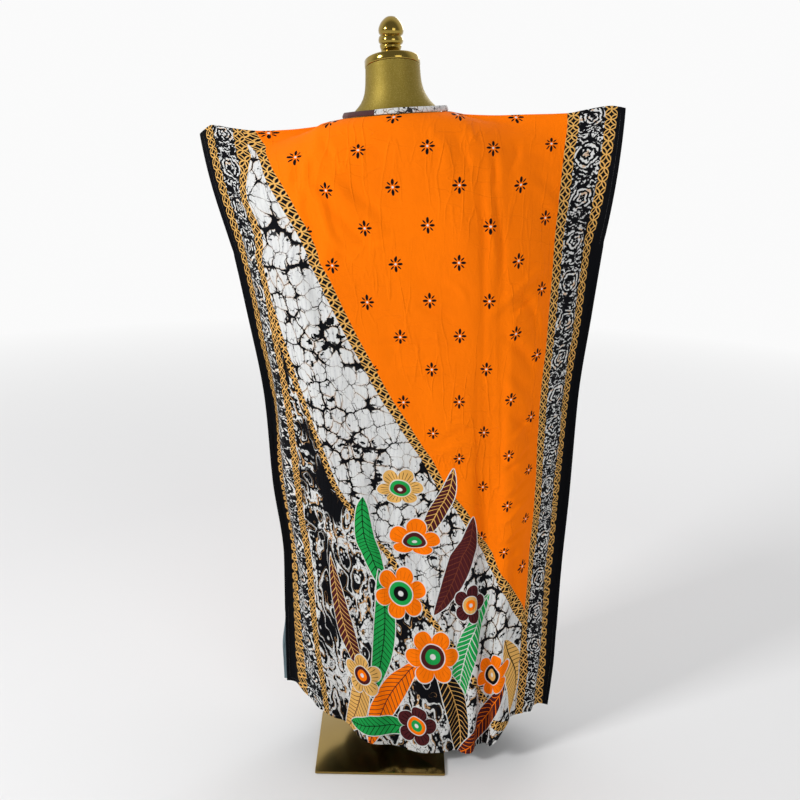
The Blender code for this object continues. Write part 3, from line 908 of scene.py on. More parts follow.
SPRAY_BLOSSOMS = table(
    Blossom,
    (0.415, 0.830, 0.058, 6, 0.3, Dye.GOLD, Dye.GREEN, Dye.MAROON),
    (0.445, 0.990, 0.068, 5, 0.4, Dye.ORANGE, Dye.MAROON, Dye.GREEN),
    (0.400, 1.150, 0.070, 6, 0.7, Dye.ORANGE, Dye.GREEN, Dye.BLACK),
    (0.480, 1.310, 0.076, 6, 0.1, Dye.ORANGE, Dye.MAROON, Dye.GREEN),
    (0.285, 1.385, 0.058, 5, 0.9, Dye.GOLD, Dye.MAROON, Dye.ORANGE),
    (0.590, 1.175, 0.052, 5, 0.2, Dye.MAROON, Dye.GOLD, Dye.ORANGE),
    (0.680, 1.375, 0.060, 6, 0.6, Dye.ORANGE, Dye.BLACK, Dye.GOLD),
    (0.430, 1.500, 0.056, 5, 0.3, Dye.MAROON, Dye.ORANGE, Dye.GREEN),
)

# Middle lines of the two slanting chains: distance down the print, and across it
FIRST_CHAIN = (
    (0.000, 0.145), (0.035, 0.155), (0.074, 0.178), (0.136, 0.210), (0.199, 0.225),
    (0.231, 0.234), (0.298, 0.269), (0.374, 0.299), (0.508, 0.356), (0.590, 0.393),
    (0.648, 0.426), (0.730, 0.467), (0.897, 0.560), (0.950, 0.593), (0.997, 0.622),
    (1.057, 0.645), (1.087, 0.661), (1.147, 0.705), (1.225, 0.747), (1.600, 0.940),
)
SECOND_CHAIN = (
    (0.000, 0.020), (0.400, 0.130), (0.471, 0.1451), (0.520, 0.1547),
    (0.568, 0.1625), (0.615, 0.1764), (0.740, 0.2166), (0.878, 0.2680),
    (0.959, 0.3220), (1.139, 0.4250), (1.295, 0.5435), (1.600, 0.7600),
)
PRINT_LENGTH = 1.6


@dataclass(frozen=True)
class BatikPrint:
    """The printed design, in metres of flat cloth: p from the left selvedge, q down from the shoulder."""

    width: float = 0.92
    black_edge: float = 0.028
    chain_width: float = 0.025
    rose_width: float = 0.057
    rose_pitch: float = 0.092
    rose_ring: float = 0.0098
    link: float = 0.028
    flower_pitch: float = 0.130
    flower_row: float = 0.0765
    flower_p: float = 0.235
    flower_q: float = 0.061
    slant_ring: float = 0.026
    slant_stretch: float = 1.118
    first_level: float = 0.894
    first_width: float = 0.0222
    second_level: float = 0.90
    second_width: float = 0.018
    line: float = 0.0012
    line_edge: float = 0.0006
    rib_pitch: float = 0.015
    petal_edge: float = 0.012
    crack_bend: float = 0.013

    def chain(self, pen: Pen, a: Field, b: Field, width: float) -> Field:
        """Gold lines of interlaced rings on a band.

        Args:
            pen: not used.
            a: distance across from the band's middle.
            b: distance along it.
            width: the band's width.

        Returns:
            Mask of the gold.
        """
        r = self.link / 2
        across = abs(a * (2 / width))
        along = abs((b + r).wrap(2 * r) * (1 / r) - 1.0)
        ring = abs(across.hypot(along) - 1.0)
        far, end = 1.0 - across, 1.0 - along
        petal = abs(far.hypot(end) - 1.0)
        return ring.least(petal).below(0.098, 0.055) * across.below(1.05, 0.04)

    def flowers(self, pen: Pen, colour: Field, p: Field, q: Field) -> Field:
        """Small eight-petalled flowers in offset rows.

        Args:
            pen: draws the nodes.
            colour: the ground.
            p: distance across.
            q: distance down.

        Returns:
            The painted colour.
        """
        row = pen.math("FLOOR", q * (1 / self.flower_row) + (0.5 - self.flower_q / self.flower_row))
        down = abs(q - row * self.flower_row - self.flower_q) * 1000.0
        half = self.flower_pitch / 2
        shifted = p - row.wrap(2.0) * half - (self.flower_p - half)
        across = abs(shifted.wrap(self.flower_pitch) - half) * 1000.0
        upright = (across / 3.0).power(2.0) + ((down - 10.4) / 6.2).power(2.0)
        level = ((across - 9.2) / 5.4).power(2.0) + (down / 2.7).power(2.0)
        slant = ((across + down - 14.6) / 6.6).power(2.0) + ((across - down) / 2.2).power(2.0)
        petals = upright.least(level).least(slant).below(1.0, 0.35)
        heart = (across * across + down * down).below(5.5, 3.0)
        return pen.paint(pen.paint(colour, Dye.BLACK, petals), Dye.WHITE, heart)

    def crackle(self, pen: Pen, place: Field, size: float = 1.0) -> Field:
        """White wax-resist ground with branching black cracks, blots and tan edges.

        Args:
            pen: draws the nodes.
            place: the place on the cloth.
            size: scale of the cracks.

        Returns:
            The painted colour.
        """
        bends, reach = (40 / size, 40 / size), self.crack_bend * size
        wobble = pen.noise(place, bends, 3.0, 0.62)
        jog = pen.noise(place, bends, 3.0, 0.62, 7.3)
        node = pen.node("ShaderNodeVectorMath", operation="ADD")
        pen.feed(node.inputs[0], place)
        pen.feed(node.inputs[1], pen.place(wobble * reach, jog * reach))
        moved = Field(pen, node.outputs[0])
        patch = pen.noise(place, (14 / size, 10 / size), 2.0, 0.5, 3.1)
        streak = pen.noise(place, (170 / size, 15 / size), 2.0, 0.6, 1.7)
        plates, chips = (33 / size, 27 / size), (82 / size, 62 / size)
        wide = pen.cells(moved, plates, "DISTANCE_TO_EDGE")
        corner = pen.cells(moved, plates, "F1")
        fine = pen.cells(moved, chips, "DISTANCE_TO_EDGE", 4.0)
        knot = pen.cells(moved, chips, "F1", 4.0)
        busy = patch.above(0.47, 0.16)
        star = (corner - 0.49).most(0.0) * (busy * 0.44 + 0.12)
        crack = star + (busy * 0.012 + 0.008)
        spur = (knot - 0.46).most(0.0) * (busy * 0.7 + 0.15) + 0.010
        near = corner.above(0.40, 0.16)
        ground = pen.paint(Dye.WHITE, Dye.SHADE, streak.above(0.56, 0.25) * 0.7)
        ground = pen.paint(ground, Dye.TAN, wide.below(crack + 0.05, 0.07) * (busy * 0.45 + 0.05))
        hair = fine.below(spur, 0.022) * near.most(streak.above(0.60, 0.12) * 0.6)
        ground = pen.paint(ground, Dye.BLACK, hair * 0.95)
        blot = (wobble + patch * 0.8).above(1.095, 0.02)
        return pen.paint(ground, Dye.BLACK, wide.below(crack, 0.018).most(blot))

    def swirls(self, pen: Pen, place: Field) -> Field:
        """Black wax-resist ground with white and tan brushed swirls and dots.

        Args:
            pen: draws the nodes.
            place: the place on the cloth.

        Returns:
            The painted colour.
        """
        field = pen.noise(place, (13, 7), 2.2, 0.55, 5.0)
        patch = pen.noise(place, (12, 7), 2.0, 0.5, 9.0)
        lower = pen.math("MULTIPLY_ADD", self.depth(pen, place), 0.16, patch)
        white = abs((field * 8.0).wrap(1.0) - 0.5).below(lower * 0.75 - 0.31, 0.05)
        tan = abs((field * 8.0 + 0.28).wrap(1.0) - 0.5).below(patch * 0.30 - 0.12, 0.04)
        dots = pen.cells(place, (105, 80), "F1", 2.0).below(0.24, 0.08) * patch.above(0.50, 0.06)
        veins = pen.noise(place, (70, 45), 2.0, 0.6, 6.0)
        ground = pen.paint(Dye.BLACK, Dye.TAN, tan)
        ground = pen.paint(ground, Dye.WHITE, white.most(dots))
        return pen.paint(ground, Dye.BLACK, abs(veins - 0.5).below(0.016, 0.012))

    def depth(self, pen: Pen, place: Field) -> Field:
        """How far down the swirled ground a place is, 0 to 1."""
        return pen.clamp((pen.split(place)[1] - 0.85) * 2.2)

    def roses(self, pen: Pen, x: Field, q: Field, place: Field) -> Field:
        """Band of brushed white rosettes on black.

        Args:
            pen: draws the nodes.
            x: distance from the band's middle.
            q: distance down.
            place: the place on the cloth.

        Returns:
            The painted colour.
        """
        wave = pen.noise(place, (46, 46), 2.0, 0.55, 11.0)
        mask = pen.noise(place, (64, 64), 2.0, 0.55, 2.0)
        y = (q + self.rose_pitch / 2).wrap(self.rose_pitch) - self.rose_pitch / 2
        r = x.hypot(y) + wave * 0.012
        turn = pen.math("ARCTAN2", y, x)
        petal = (turn * 5.0 + wave * 9.0).sine() * 0.0016
        ring = ((r + petal) * (2 * math.pi / self.rose_ring) + turn).sine()
        inside = r.below(0.035, 0.002)
        strokes = ring.above(0.10, 0.35) * mask.above(0.435, 0.04) * inside
        swoosh = (pen.affine(x, y, 210.0, 430.0, 0.0) + wave * 20.0).sine()
        outside = swoosh.above(0.62, 0.25) * mask.above(0.49, 0.04) * (1.0 - inside)
        dots = pen.cells(place, (140, 140), "F1", 3.0).below(0.26, 0.08) * wave.above(0.54, 0.04)
        ground = pen.paint(Dye.BLACK, Dye.WHITE, strokes.most(outside).most(dots * (1.0 - inside)))
        return pen.paint(ground, Dye.TAN, mask.above(0.63, 0.03) * strokes * 0.7)

    def leaf(self, pen: Pen, colour: Field, p: Field, q: Field, leaf: Leaf) -> Field:
        """Paint one long leaf with a midrib, veins and a pale outline.

        Args:
            pen: draws the nodes.
            colour: the ground.
            p: distance across.
            q: distance down.
            leaf: its place, sizes and dyes.

        Returns:
            The painted colour.
        """
        turn = math.radians(leaf.turn)
        c, s = math.cos(turn), math.sin(turn)
        along = pen.affine(p, q, c / leaf.half_length, s / leaf.half_length,
                           -(leaf.p * c + leaf.q * s) / leaf.half_length)
        across = pen.affine(p, q, -s, c, leaf.p * s - leaf.q * c)
        swell = (1.0 - along * along).most(0.0)
        off = abs(across - swell * leaf.bend)
        edge = off - swell.power(0.75) * leaf.half_width
        body = edge.below(-0.0004, self.line_edge)
        rim = abs(edge).below(self.line, self.line_edge) * swell.above(0.004, 0.004)
        ribs = (along * leaf.half_length + off * 0.9).wrap(self.rib_pitch).below(0.0024, 0.0008)
        vein = ribs.most(off.below(self.line, self.line_edge))
        colour = pen.paint(colour, leaf.body, body)
        colour = pen.paint(colour, leaf.vein, vein * body)
        return pen.paint(colour, Dye.WHITE, rim)

    def blossom(self, pen: Pen, colour: Field, p: Field, q: Field, flower: Blossom) -> Field:
        """Paint one large flower with petals, a ring and a heart.

        Args:
            pen: draws the nodes.
            colour: the ground.
            p: distance across.
            q: distance down.
            flower: its place, sizes and dyes.

        Returns:
            The painted colour.
        """
        dx, dy = p - flower.p, q - flower.q
        r = dx.hypot(dy) * (1 / flower.radius)
        angle = pen.math("MULTIPLY_ADD", pen.math("ARCTAN2", dy, dx), flower.petals / 2, flower.turn)
        lobe = abs(pen.math("COSINE", angle))
        edge = r - lobe.power(0.55) * 0.42
        petals = edge.below(0.56, self.petal_edge)
        rim = abs(edge - 0.56).below(0.022, self.petal_edge)
        stripe = abs((angle * 5.0).sine()).below(0.24, 0.15) * r.above(0.50, 0.03) * r.below(0.80, 0.05)
        streak = Dye.DEEP_ORANGE if flower.petal is Dye.ORANGE else Dye.BLACK
        colour = pen.paint(colour, flower.petal, petals)
        colour = pen.paint(colour, streak, stripe * petals)
        colour = pen.paint(colour, Dye.WHITE, rim.most(abs(r - 0.44).below(0.02, self.petal_edge)))
        for dye, reach in ((flower.ring, 0.42), (flower.heart, 0.27), (Dye.WHITE, 0.10)):
            colour = pen.paint(colour, dye, r.below(reach, self.petal_edge))
        return colour

    def group(self) -> bpy.types.NodeTree:
        """Build the whole design once, for the right and the wrong side.

        Returns:
            A node group from a place on the cloth to its colour.
        """
        tree = bpy.data.node_groups.new("batik_print", "ShaderNodeTree")
        tree.interface.new_socket("Cloth", in_out="INPUT", socket_type="NodeSocketVector")
        tree.interface.new_socket("Colour", in_out="OUTPUT", socket_type="NodeSocketColor")
        pen = Pen(tree)
        place = Field(pen, pen.node("NodeGroupInput").outputs["Cloth"])
        p, q, _ = pen.split(place)
        tone = pen.noise(place, (6, 4), 2.0, 0.5, 4.0)
        colour = pen.paint(Dye.ORANGE, Dye.DEEP_ORANGE, tone.above(0.62, 0.5) * 0.22)
        colour = self.flowers(pen, colour, p, q)

        down = q * (1 / PRINT_LENGTH)
        first, second = (
            (p - pen.curve(down, [(y / PRINT_LENGTH, x) for y, x in line])) * level
            for line, level in ((FIRST_CHAIN, self.first_level), (SECOND_CHAIN, self.second_level))
        )
        along = q * self.slant_stretch
        colour = pen.paint(colour, self.crackle(pen, place), first.below(0.0, 0.001))
        colour = pen.paint(colour, self.swirls(pen, place), second.below(0.0, 0.001))
        for middle, width in ((second, self.second_width), (first, self.first_width)):
            band = pen.paint(Dye.BLACK, Dye.GOLD, self.chain(pen, middle, along, self.slant_ring))
            colour = pen.paint(colour, band, abs(middle).below(width / 2, self.line_edge))
        for leaf in SPRAY_LEAVES:
            colour = self.leaf(pen, colour, p, q, leaf)
        for flower in SPRAY_BLOSSOMS:
            colour = self.blossom(pen, colour, p, q, flower)

        inset = p.least(self.width - p)
        chains = self.black_edge + self.chain_width
        inner = chains + self.rose_width
        border = inner + self.chain_width
        rose_middle = (chains + inner) / 2
        ground = self.roses(pen, inset - rose_middle, q, place)
        fold = abs(inset - rose_middle) - (self.rose_width + self.chain_width) / 2
        band = pen.paint(Dye.BLACK, Dye.GOLD, self.chain(pen, fold, q, self.chain_width))
        ground = pen.paint(ground, band, abs(fold).below(self.chain_width / 2, self.line_edge))
        ground = pen.paint(ground, Dye.BLACK, inset.below(self.black_edge, self.line_edge))
        colour = pen.paint(colour, ground, inset.below(border, self.line_edge))
        pen.feed(pen.node("NodeGroupOutput").inputs["Colour"], colour)
        return tree


def new_material(name: str) -> tuple[bpy.types.Material, Pen, bpy.types.Node]:
    """Start a material.

    Args:
        name: its name.

    Returns:
        The material, a pen for its nodes and its shader.
    """
    material = bpy.data.materials.new(name)
    material.use_nodes = True
    return material, Pen(material.node_tree), material.node_tree.nodes["Principled BSDF"]


@dataclass(frozen=True)
class ClothFinish:
    """Light printed cotton, with its weave and fine wrinkles."""

    threads: float = 2400.0
    thread_height: float = 0.00002
    gaps: float = 0.07
    wrinkle: float = 0.0012
    roughness: float = 0.9
    shine: float = 0.08

    def dress(self, name: str, design: bpy.types.NodeTree, wrong_side: bool) -> bpy.types.Material:
        """Make the cloth's material.

        Args:
            name: the material's name.
            design: the print's node group.
            wrong_side: whether this is the paler inside.

        Returns:
            The material.
        """
        material, pen, shader = new_material(name)
        uv = pen.cloth_place()
        group = pen.node("ShaderNodeGroup")
        group.node_tree = design
        pen.feed(group.inputs[0], uv)
        colour = Field(pen, group.outputs[0])
        if wrong_side:
            mottle = pen.noise(uv, (24, 24), 3.0, 0.6, 6.0)
            colour = pen.paint(colour, Dye.WRONG, mottle * 0.25 + 0.50)
        weave = self.weave(pen, uv)
        colour = pen.paint(colour, Dye.BLACK, weave * self.gaps)
        looks = {"Base Color": colour, "Roughness": self.roughness, "Specular IOR Level": self.shine}
        pen.fill(shader, looks)
        pen.relief(shader, self.crumple(pen, uv) * self.wrinkle + weave * self.thread_height)
        return material

    def ridge(self, pen: Pen, uv: Field, scale: tuple[float, float], width: float, shift: float) -> Field:
        """Winding sharp ridges.

        Args:
            pen: draws the nodes.
            uv: the place on the cloth.
            scale: bends to a metre along each axis.
            width: how broad a ridge is.
            shift: moves the pattern.

        Returns:
            1 on a ridge's crest, 0 off it.
        """
        off = abs(pen.noise(uv, scale, 2.0, 0.5, shift) - 0.5)
        return (1.0 - (off / width).least(1.0)).power(2.0)

    def crumple(self, pen: Pen, uv: Field) -> Field:
        """Fine wrinkles, sharper and softer by turns.

        Args:
            pen: draws the nodes.
            uv: the place on the cloth.

        Returns:
            Height, from 0 to about 1.
        """
        patch = pen.noise(uv, (6, 4), 1.0, 0.5, 12.0).above(0.50, 0.22)
        upright = self.ridge(pen, uv, (24, 4.5), 0.060, 8.0)
        level = self.ridge(pen, uv, (9, 22), 0.045, 1.0)
        soft = pen.noise(uv, (44, 24), 2.0, 0.55, 3.0)
        fine = pen.noise(uv, (170, 90), 2.0, 0.5, 5.0)
        return upright * (patch * 0.7 + 0.15) + level * (patch * 0.4 + 0.05) + soft * 0.7 + fine * 0.14

    def weave(self, pen: Pen, uv: Field) -> Field:
        """Over-and-under of the threads.

        Args:
            pen: draws the nodes.
            uv: the place on the cloth.

        Returns:
            0 on the threads, 1 between them.
        """
        across, down, _ = pen.split(uv)
        return abs((across * (self.threads * math.pi)).sine() * (down * (self.threads * math.pi)).sine())


@dataclass(frozen=True)
class GoldFinish:
    """Gold paint or plate on the form and its stand."""

    name: str
    colour: tuple[float, float, float]
    shadow: tuple[float, float, float]
    roughness: float
    metallic: float
    flake: float = 0.0
    coat: float = 0.0
    cloud: float = 0.05
    clouds_to_metre: float = 9.0
    flakes_to_metre: float = 1500.0
    flake_height: float = 0.00006
    glint: Tint = (0.62, 0.50, 0.16, 1.0)

    def dress(self) -> bpy.types.Material:
        """Make the metal's material.

        Returns:
            The material.
        """
        material, pen, shader = new_material(self.name)
        place = pen.solid_place()
        node = pen.node("ShaderNodeTexNoise")
        pen.fill(node, {"Vector": place, "Scale": self.clouds_to_metre, "Detail": 4.0})
        tone = Field(pen, node.outputs[0])
        colour = pen.paint((*self.colour, 1.0), (*self.shadow, 1.0), tone.above(0.5, 0.5) * 0.6)
        if self.flake:
            grain = pen.node("ShaderNodeTexVoronoi", feature="F1")
            pen.fill(grain, {"Vector": place, "Scale": self.flakes_to_metre})
            glint = pen.node("ShaderNodeSeparateColor")
            pen.tree.links.new(grain.outputs["Color"], glint.inputs[0])
            spark = Field(pen, glint.outputs[0])
            colour = pen.paint(colour, self.glint, spark.above(0.84, 0.1) * self.flake)
            pen.relief(shader, spark * self.flake_height, 0.5)
        pen.fill(shader, {
            "Base Color": colour,
            "Roughness": tone * self.cloud + (self.roughness - self.cloud / 2),
            "Metallic": self.metallic,
            "Coat Weight": self.coat,
            "Coat Roughness": 0.15,
        })
        return material


@dataclass(frozen=True)
class ThreadFinish:
    """Matt twisted sewing thread."""

    dye: Dye = Dye.THREAD
    twists: float = 2600.0
    roughness: float = 0.7

    def dress(self) -> bpy.types.Material:
        """Make the thread's material.

        Returns:
            The material.
        """
        material, pen, shader = new_material("sewing_thread")
        twist = pen.noise(pen.solid_place(), (self.twists, self.twists), 1.0, 0.5)
        colour = pen.paint(self.dye, Dye.SHADE, twist.above(0.6, 0.3) * 0.25)
        pen.fill(shader, {"Base Color": colour, "Roughness": self.roughness})
        return material


@dataclass(frozen=True)
class BindingFinish:
    """Bias binding, plain maroon or crackle batik, with a fine weave."""

    name: str
    printed: bool
    crack_size: float = 0.55
    gaps: float = 0.12
    wrinkle: float = 0.0004
    roughness: float = 0.85
    sheen: float = 0.15

    def dress(self) -> bpy.types.Material:
        """Make the binding's material.

        Returns:
            The material.
        """
        material, pen, shader = new_material(self.name)
        uv = pen.cloth_place()
        if self.printed:
            colour = BatikPrint().crackle(pen, uv, self.crack_size)
        else:
            tone = pen.noise(uv, (60, 200), 3.0, 0.6)
            colour = pen.paint(Dye.PLAIN, Dye.MAROON, tone.above(0.5, 0.4) * 0.6)
        colour = pen.paint(colour, Dye.BLACK, ClothFinish().weave(pen, uv) * self.gaps)
        pen.fill(shader, {"Base Color": colour, "Roughness": self.roughness, "Sheen Weight": self.sheen})
        pen.relief(shader, pen.noise(uv, (260, 90), 2.0, 0.5) * self.wrinkle)
        return material


@dataclass(frozen=True)
class Finishes:
    """Every material of the scene, made once."""

    right: bpy.types.Material
    wrong: bpy.types.Material
    plain: bpy.types.Material
    crackle: bpy.types.Material
    thread: bpy.types.Material
    form: bpy.types.Material
    cap: bpy.types.Material
    stand: bpy.types.Material

    @classmethod
    def make(cls) -> "Finishes":
        """Make them all.

        Returns:
            The set of materials.
        """
        design = BatikPrint().group()
        cloth = ClothFinish()
        return cls(
            right=cloth.dress("batik_right_side", design, False),
            wrong=cloth.dress("batik_wrong_side", design, True),
            plain=BindingFinish("binding_maroon", False).dress(),
            crackle=BindingFinish("binding_crackle", True).dress(),
            thread=ThreadFinish().dress(),
            form=GoldFinish("form_gold_paint", (0.235, 0.170, 0.022), (0.19, 0.135, 0.017), 0.55, 0.72,
                            flake=0.30).dress(),
            cap=GoldFinish("cap_gold_plate", (0.34, 0.235, 0.040), (0.24, 0.160, 0.026), 0.14, 1.0,
                           coat=0.3).dress(),
            stand=GoldFinish("stand_gold_mirror", (0.33, 0.225, 0.062), (0.26, 0.17, 0.046), 0.20, 1.0,
                             coat=0.2).dress(),
        )


def new_piece(mesh: bpy.types.Mesh, materials: Sequence[bpy.types.Material],
              nodes: Sequence[str] = ()) -> bpy.types.Object:
    """Put a finished mesh in the scene as one piece that rides on the frame.

    Args:
        mesh: the piece's mesh, which gives it its name.
        materials: its materials, in the order of its faces' numbers.
        nodes: the frame's nodes that it stands for.

    Returns:
        The piece.
    """
    for material in materials:
        mesh.materials.append(material)
    obj = bpy.data.objects.new(mesh.name, mesh)
    bpy.context.scene.collection.objects.link(obj)
    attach(obj, "root")
    if nodes:
        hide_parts(*nodes)
    LOG.info("%s: %d faces", mesh.name, len(mesh.polygons))
    return obj


def grid_quads(rows: int, columns: int, start: int, flip: bool, closed: bool = False) -> np.ndarray:
    """Corner numbers of a grid's quads.

    Args:
        rows: rows of points.
        columns: points in a row.
        start: number of the first point.
        flip: whether the faces turn over.
        closed: whether each row's end joins its start.

    Returns:
        One line of four numbers for each quad.
    """
    number = start + np.arange(rows * columns).reshape(rows, columns)
    right = np.roll(number, -1, axis=1) if closed else number[:, 1:]
    left = number if closed else number[:, :-1]
    quads = np.stack([left[:-1], left[1:], right[1:], right[:-1]], axis=-1).reshape(-1, 4)
    return quads[:, [0, 3, 2, 1]] if flip else quads


def capped(rings: int, sides: int, flip: bool = False) -> list[list[int]]:
    """Faces of a tube with both ends filled.

    Args:
        rings: how many rings of points it has.
        sides: points in a ring.
        flip: whether the faces turn over.

    Returns:
        Corner numbers of its faces.
    """
    ends = [list(range(sides)), list(range(rings * sides - 1, (rings - 1) * sides - 1, -1))]
    faces = grid_quads(rings, sides, 0, flip, closed=True).tolist()
    return faces + [end[::-1] if flip else end for end in ends]


def circle(sides: int) -> list[tuple[float, float]]:
    """Cosine and sine of even turns round a circle."""
    angles = [2 * math.pi * k / sides for k in range(sides)]
    return [(math.cos(angle), math.sin(angle)) for angle in angles]


def mesh_from(name: str, points: np.ndarray, faces: Sequence[Sequence[int]], uv: np.ndarray | None = None,
              kinds: np.ndarray | None = None, sharp: float = 40.0) -> bpy.types.Mesh:
    """A smooth mesh from points and faces.

    Args:
        name: the mesh's name.
        points: its points.
        faces: corner numbers of its faces.
        uv: each point's place on the flat cloth.
        kinds: each face's material number.
        sharp: angle above which an edge stays crisp, in degrees.

    Returns:
        The mesh.
    """
    mesh = bpy.data.meshes.new(name)
    mesh.from_pydata(points.tolist(), [], [list(map(int, face)) for face in faces])
    mesh.update()
    if uv is not None:
        corners = np.empty(len(mesh.loops), dtype=np.int32)
        mesh.loops.foreach_get("vertex_index", corners)
        mesh.uv_layers.new(name="Cloth").data.foreach_set("uv", uv[corners].astype(np.float32).ravel())
    if kinds is not None:
        mesh.polygons.foreach_set("material_index", kinds.astype(np.int32))
    mesh.shade_smooth()
    mesh.set_sharp_from_angle(angle=math.radians(sharp))
    return mesh


@dataclass
class ClothPanel:
    """One hung panel of printed cloth: a thin shell with turned hems."""

    finishes: Finishes
    name: str
    node: str
    shape: PanelShape
    creases: tuple[Crease, ...]
    columns: int = 166
    rows: int = 270
    wall: float = 0.0007
    stand_off: float = 0.0003
    hem_turn: float = 0.011
    hem_extra: float = 0.0005
    hem_zone: float = 0.016
    top_zone: float = 0.0135
    clear: float = 0.0009
    lift_above: float = 1.2
    press: float = 1.7
    flank: float = 0.45
    sway: float = 0.006

    def places(self) -> tuple[np.ndarray, np.ndarray]:
        """Where the grid's lines lie, closer at the turned hems.

        Returns:
            Places across, 0 to 1, and down, 0 to 1.
        """
        edge = np.array([0.0, 0.0012, self.hem_turn - 0.0008, self.hem_turn + 0.0008])
        inner = np.linspace(self.hem_zone, CUT_WIDTH - self.hem_zone, self.columns - 8)
        across = np.concatenate((edge, inner, CUT_WIDTH - edge[::-1])) / CUT_WIDTH
        top = np.array([0.0, 0.002, 0.005, 0.009])
        down = np.linspace(self.top_zone, CUT_LENGTH - self.hem_zone, self.rows - 8)
        falls = np.concatenate((top, down, CUT_LENGTH - edge[::-1])) / CUT_LENGTH
        return across, falls

    def creased(self, points: np.ndarray, normals: np.ndarray, u: np.ndarray, v: np.ndarray) -> np.ndarray:
        """Press the small creases into the cloth.

        Args:
            points: rows by columns of points.
            normals: outward directions there.
            u: distance across the flat cloth.
            v: distance down it.

        Returns:
            The moved points.
        """
        push = np.zeros(u.shape)
        for crease in self.creases:
            du, dv = crease.u1 - crease.u0, crease.v1 - crease.v0
            length = math.hypot(du, dv)
            along = ((u - crease.u0) * du + (v - crease.v0) * dv) / length**2
            off = ((u - crease.u0) * dv - (v - crease.v0) * du) / length
            sway = self.sway * np.sin(along * 5.0 + crease.u0 * 40.0)
            taper = np.clip(np.sin(np.pi * np.clip(along, 0.0, 1.0)), 0.0, 1.0) ** 0.6
            near = (off + sway) / crease.half_width
            bump = np.exp(-near**2) - self.flank * np.exp(-(near - 1.9)**2)
            push += self.press * crease.depth * taper * bump
        small = np.sin(u * 95.0 + 3.0 * np.sin(v * 7.0)) * np.sin(v * 21.0 + 2.0 * np.sin(u * 11.0))
        ripple = small * 0.0005
        ripple += np.sin(u * 41.0 - v * 17.0 + 2.0 * np.sin(v * 5.0 + u * 6.0)) * 0.0007
        free = ease((v - 0.004) / 0.05)
        side = ease(np.minimum(u, CUT_WIDTH - u) / 0.03)
        return points - normals * ((push + ripple) * free * side)[..., None]

    def relaxed(self, points: np.ndarray, u: np.ndarray, v: np.ndarray) -> np.ndarray:
        """Round off the bends of the sheet, more so in the loose wings, with its edges kept.

        Args:
            points: rows by columns of points.
            u: distance across the flat cloth.
            v: distance down it.

        Returns:
            The moved points.
        """
        depth = points[..., 1]
        soft, softer = depth.copy(), depth.copy()
        for sheet, times in ((soft, 5), (softer, 40)):
            for _ in range(times):
                sheet[1:-1] = (sheet[:-2] + 2 * sheet[1:-1] + sheet[2:]) / 4
                sheet[:, 1:-1] = (sheet[:, :-2] + 2 * sheet[:, 1:-1] + sheet[:, 2:]) / 4
        loose = ease((0.62 - v) / 0.3) * ease((np.abs(u / CUT_WIDTH - BODY_ACROSS) - 0.20) / 0.12)
        moved = soft + (softer - soft) * loose
        held = ease((v - 0.002) / 0.03) * ease(np.minimum(u, CUT_WIDTH - u) / 0.02)
        points[..., 1] = depth + (moved - depth) * held
        return points

    def normals(self, points: np.ndarray) -> np.ndarray:
        """Outward directions of a grid of points.

        Args:
            points: rows by columns of points.

        Returns:
            Unit vectors.
        """
        down, across = np.gradient(points, axis=0), np.gradient(points, axis=1)
        normal = np.cross(across, down) if self.shape.side is Side.FRONT else np.cross(down, across)
        normal /= np.linalg.norm(normal, axis=-1, keepdims=True)
        return normal

    def keep_clear(self, points: np.ndarray, form: BVHTree) -> np.ndarray:
        """Lift the points that lie too near the form's body.

        Args:
            points: rows by columns of points.
            form: the form's surface.

        Returns:
            The moved points.
        """
        flat = points.reshape(-1, 3)
        for i in np.nonzero(flat[:, 2] > self.lift_above)[0]:
            spot = Vector(flat[i])
            hit, normal, _, distance = form.find_nearest(spot, 0.02)
            if hit is None:
                continue
            signed = distance if (spot - hit).dot(normal) >= 0 else -distance
            if signed < self.clear:
                flat[i] = hit + normal * self.clear
        return flat.reshape(points.shape)

    def print_places(self, u: np.ndarray, v: np.ndarray) -> np.ndarray:
        """Places on the printed design. The front is a second copy of it, so it runs the other way.

        Args:
            u: distance across the flat cloth.
            v: distance down it.

        Returns:
            Points by p and q.
        """
        q = np.interp(v, DOWN_CLOTH, DOWN_PRINT)
        if self.shape.side is Side.FRONT:
            return np.stack([CUT_WIDTH - u, q], axis=-1).reshape(-1, 2)
        p = np.empty_like(u)
        for j, line in enumerate(v[:, 0]):
            p[j] = np.interp(u[j], [0.0, *row_at(BACK_EASE, line), CUT_WIDTH], PRINT_LINES)
        return np.stack([p, q], axis=-1).reshape(-1, 2)

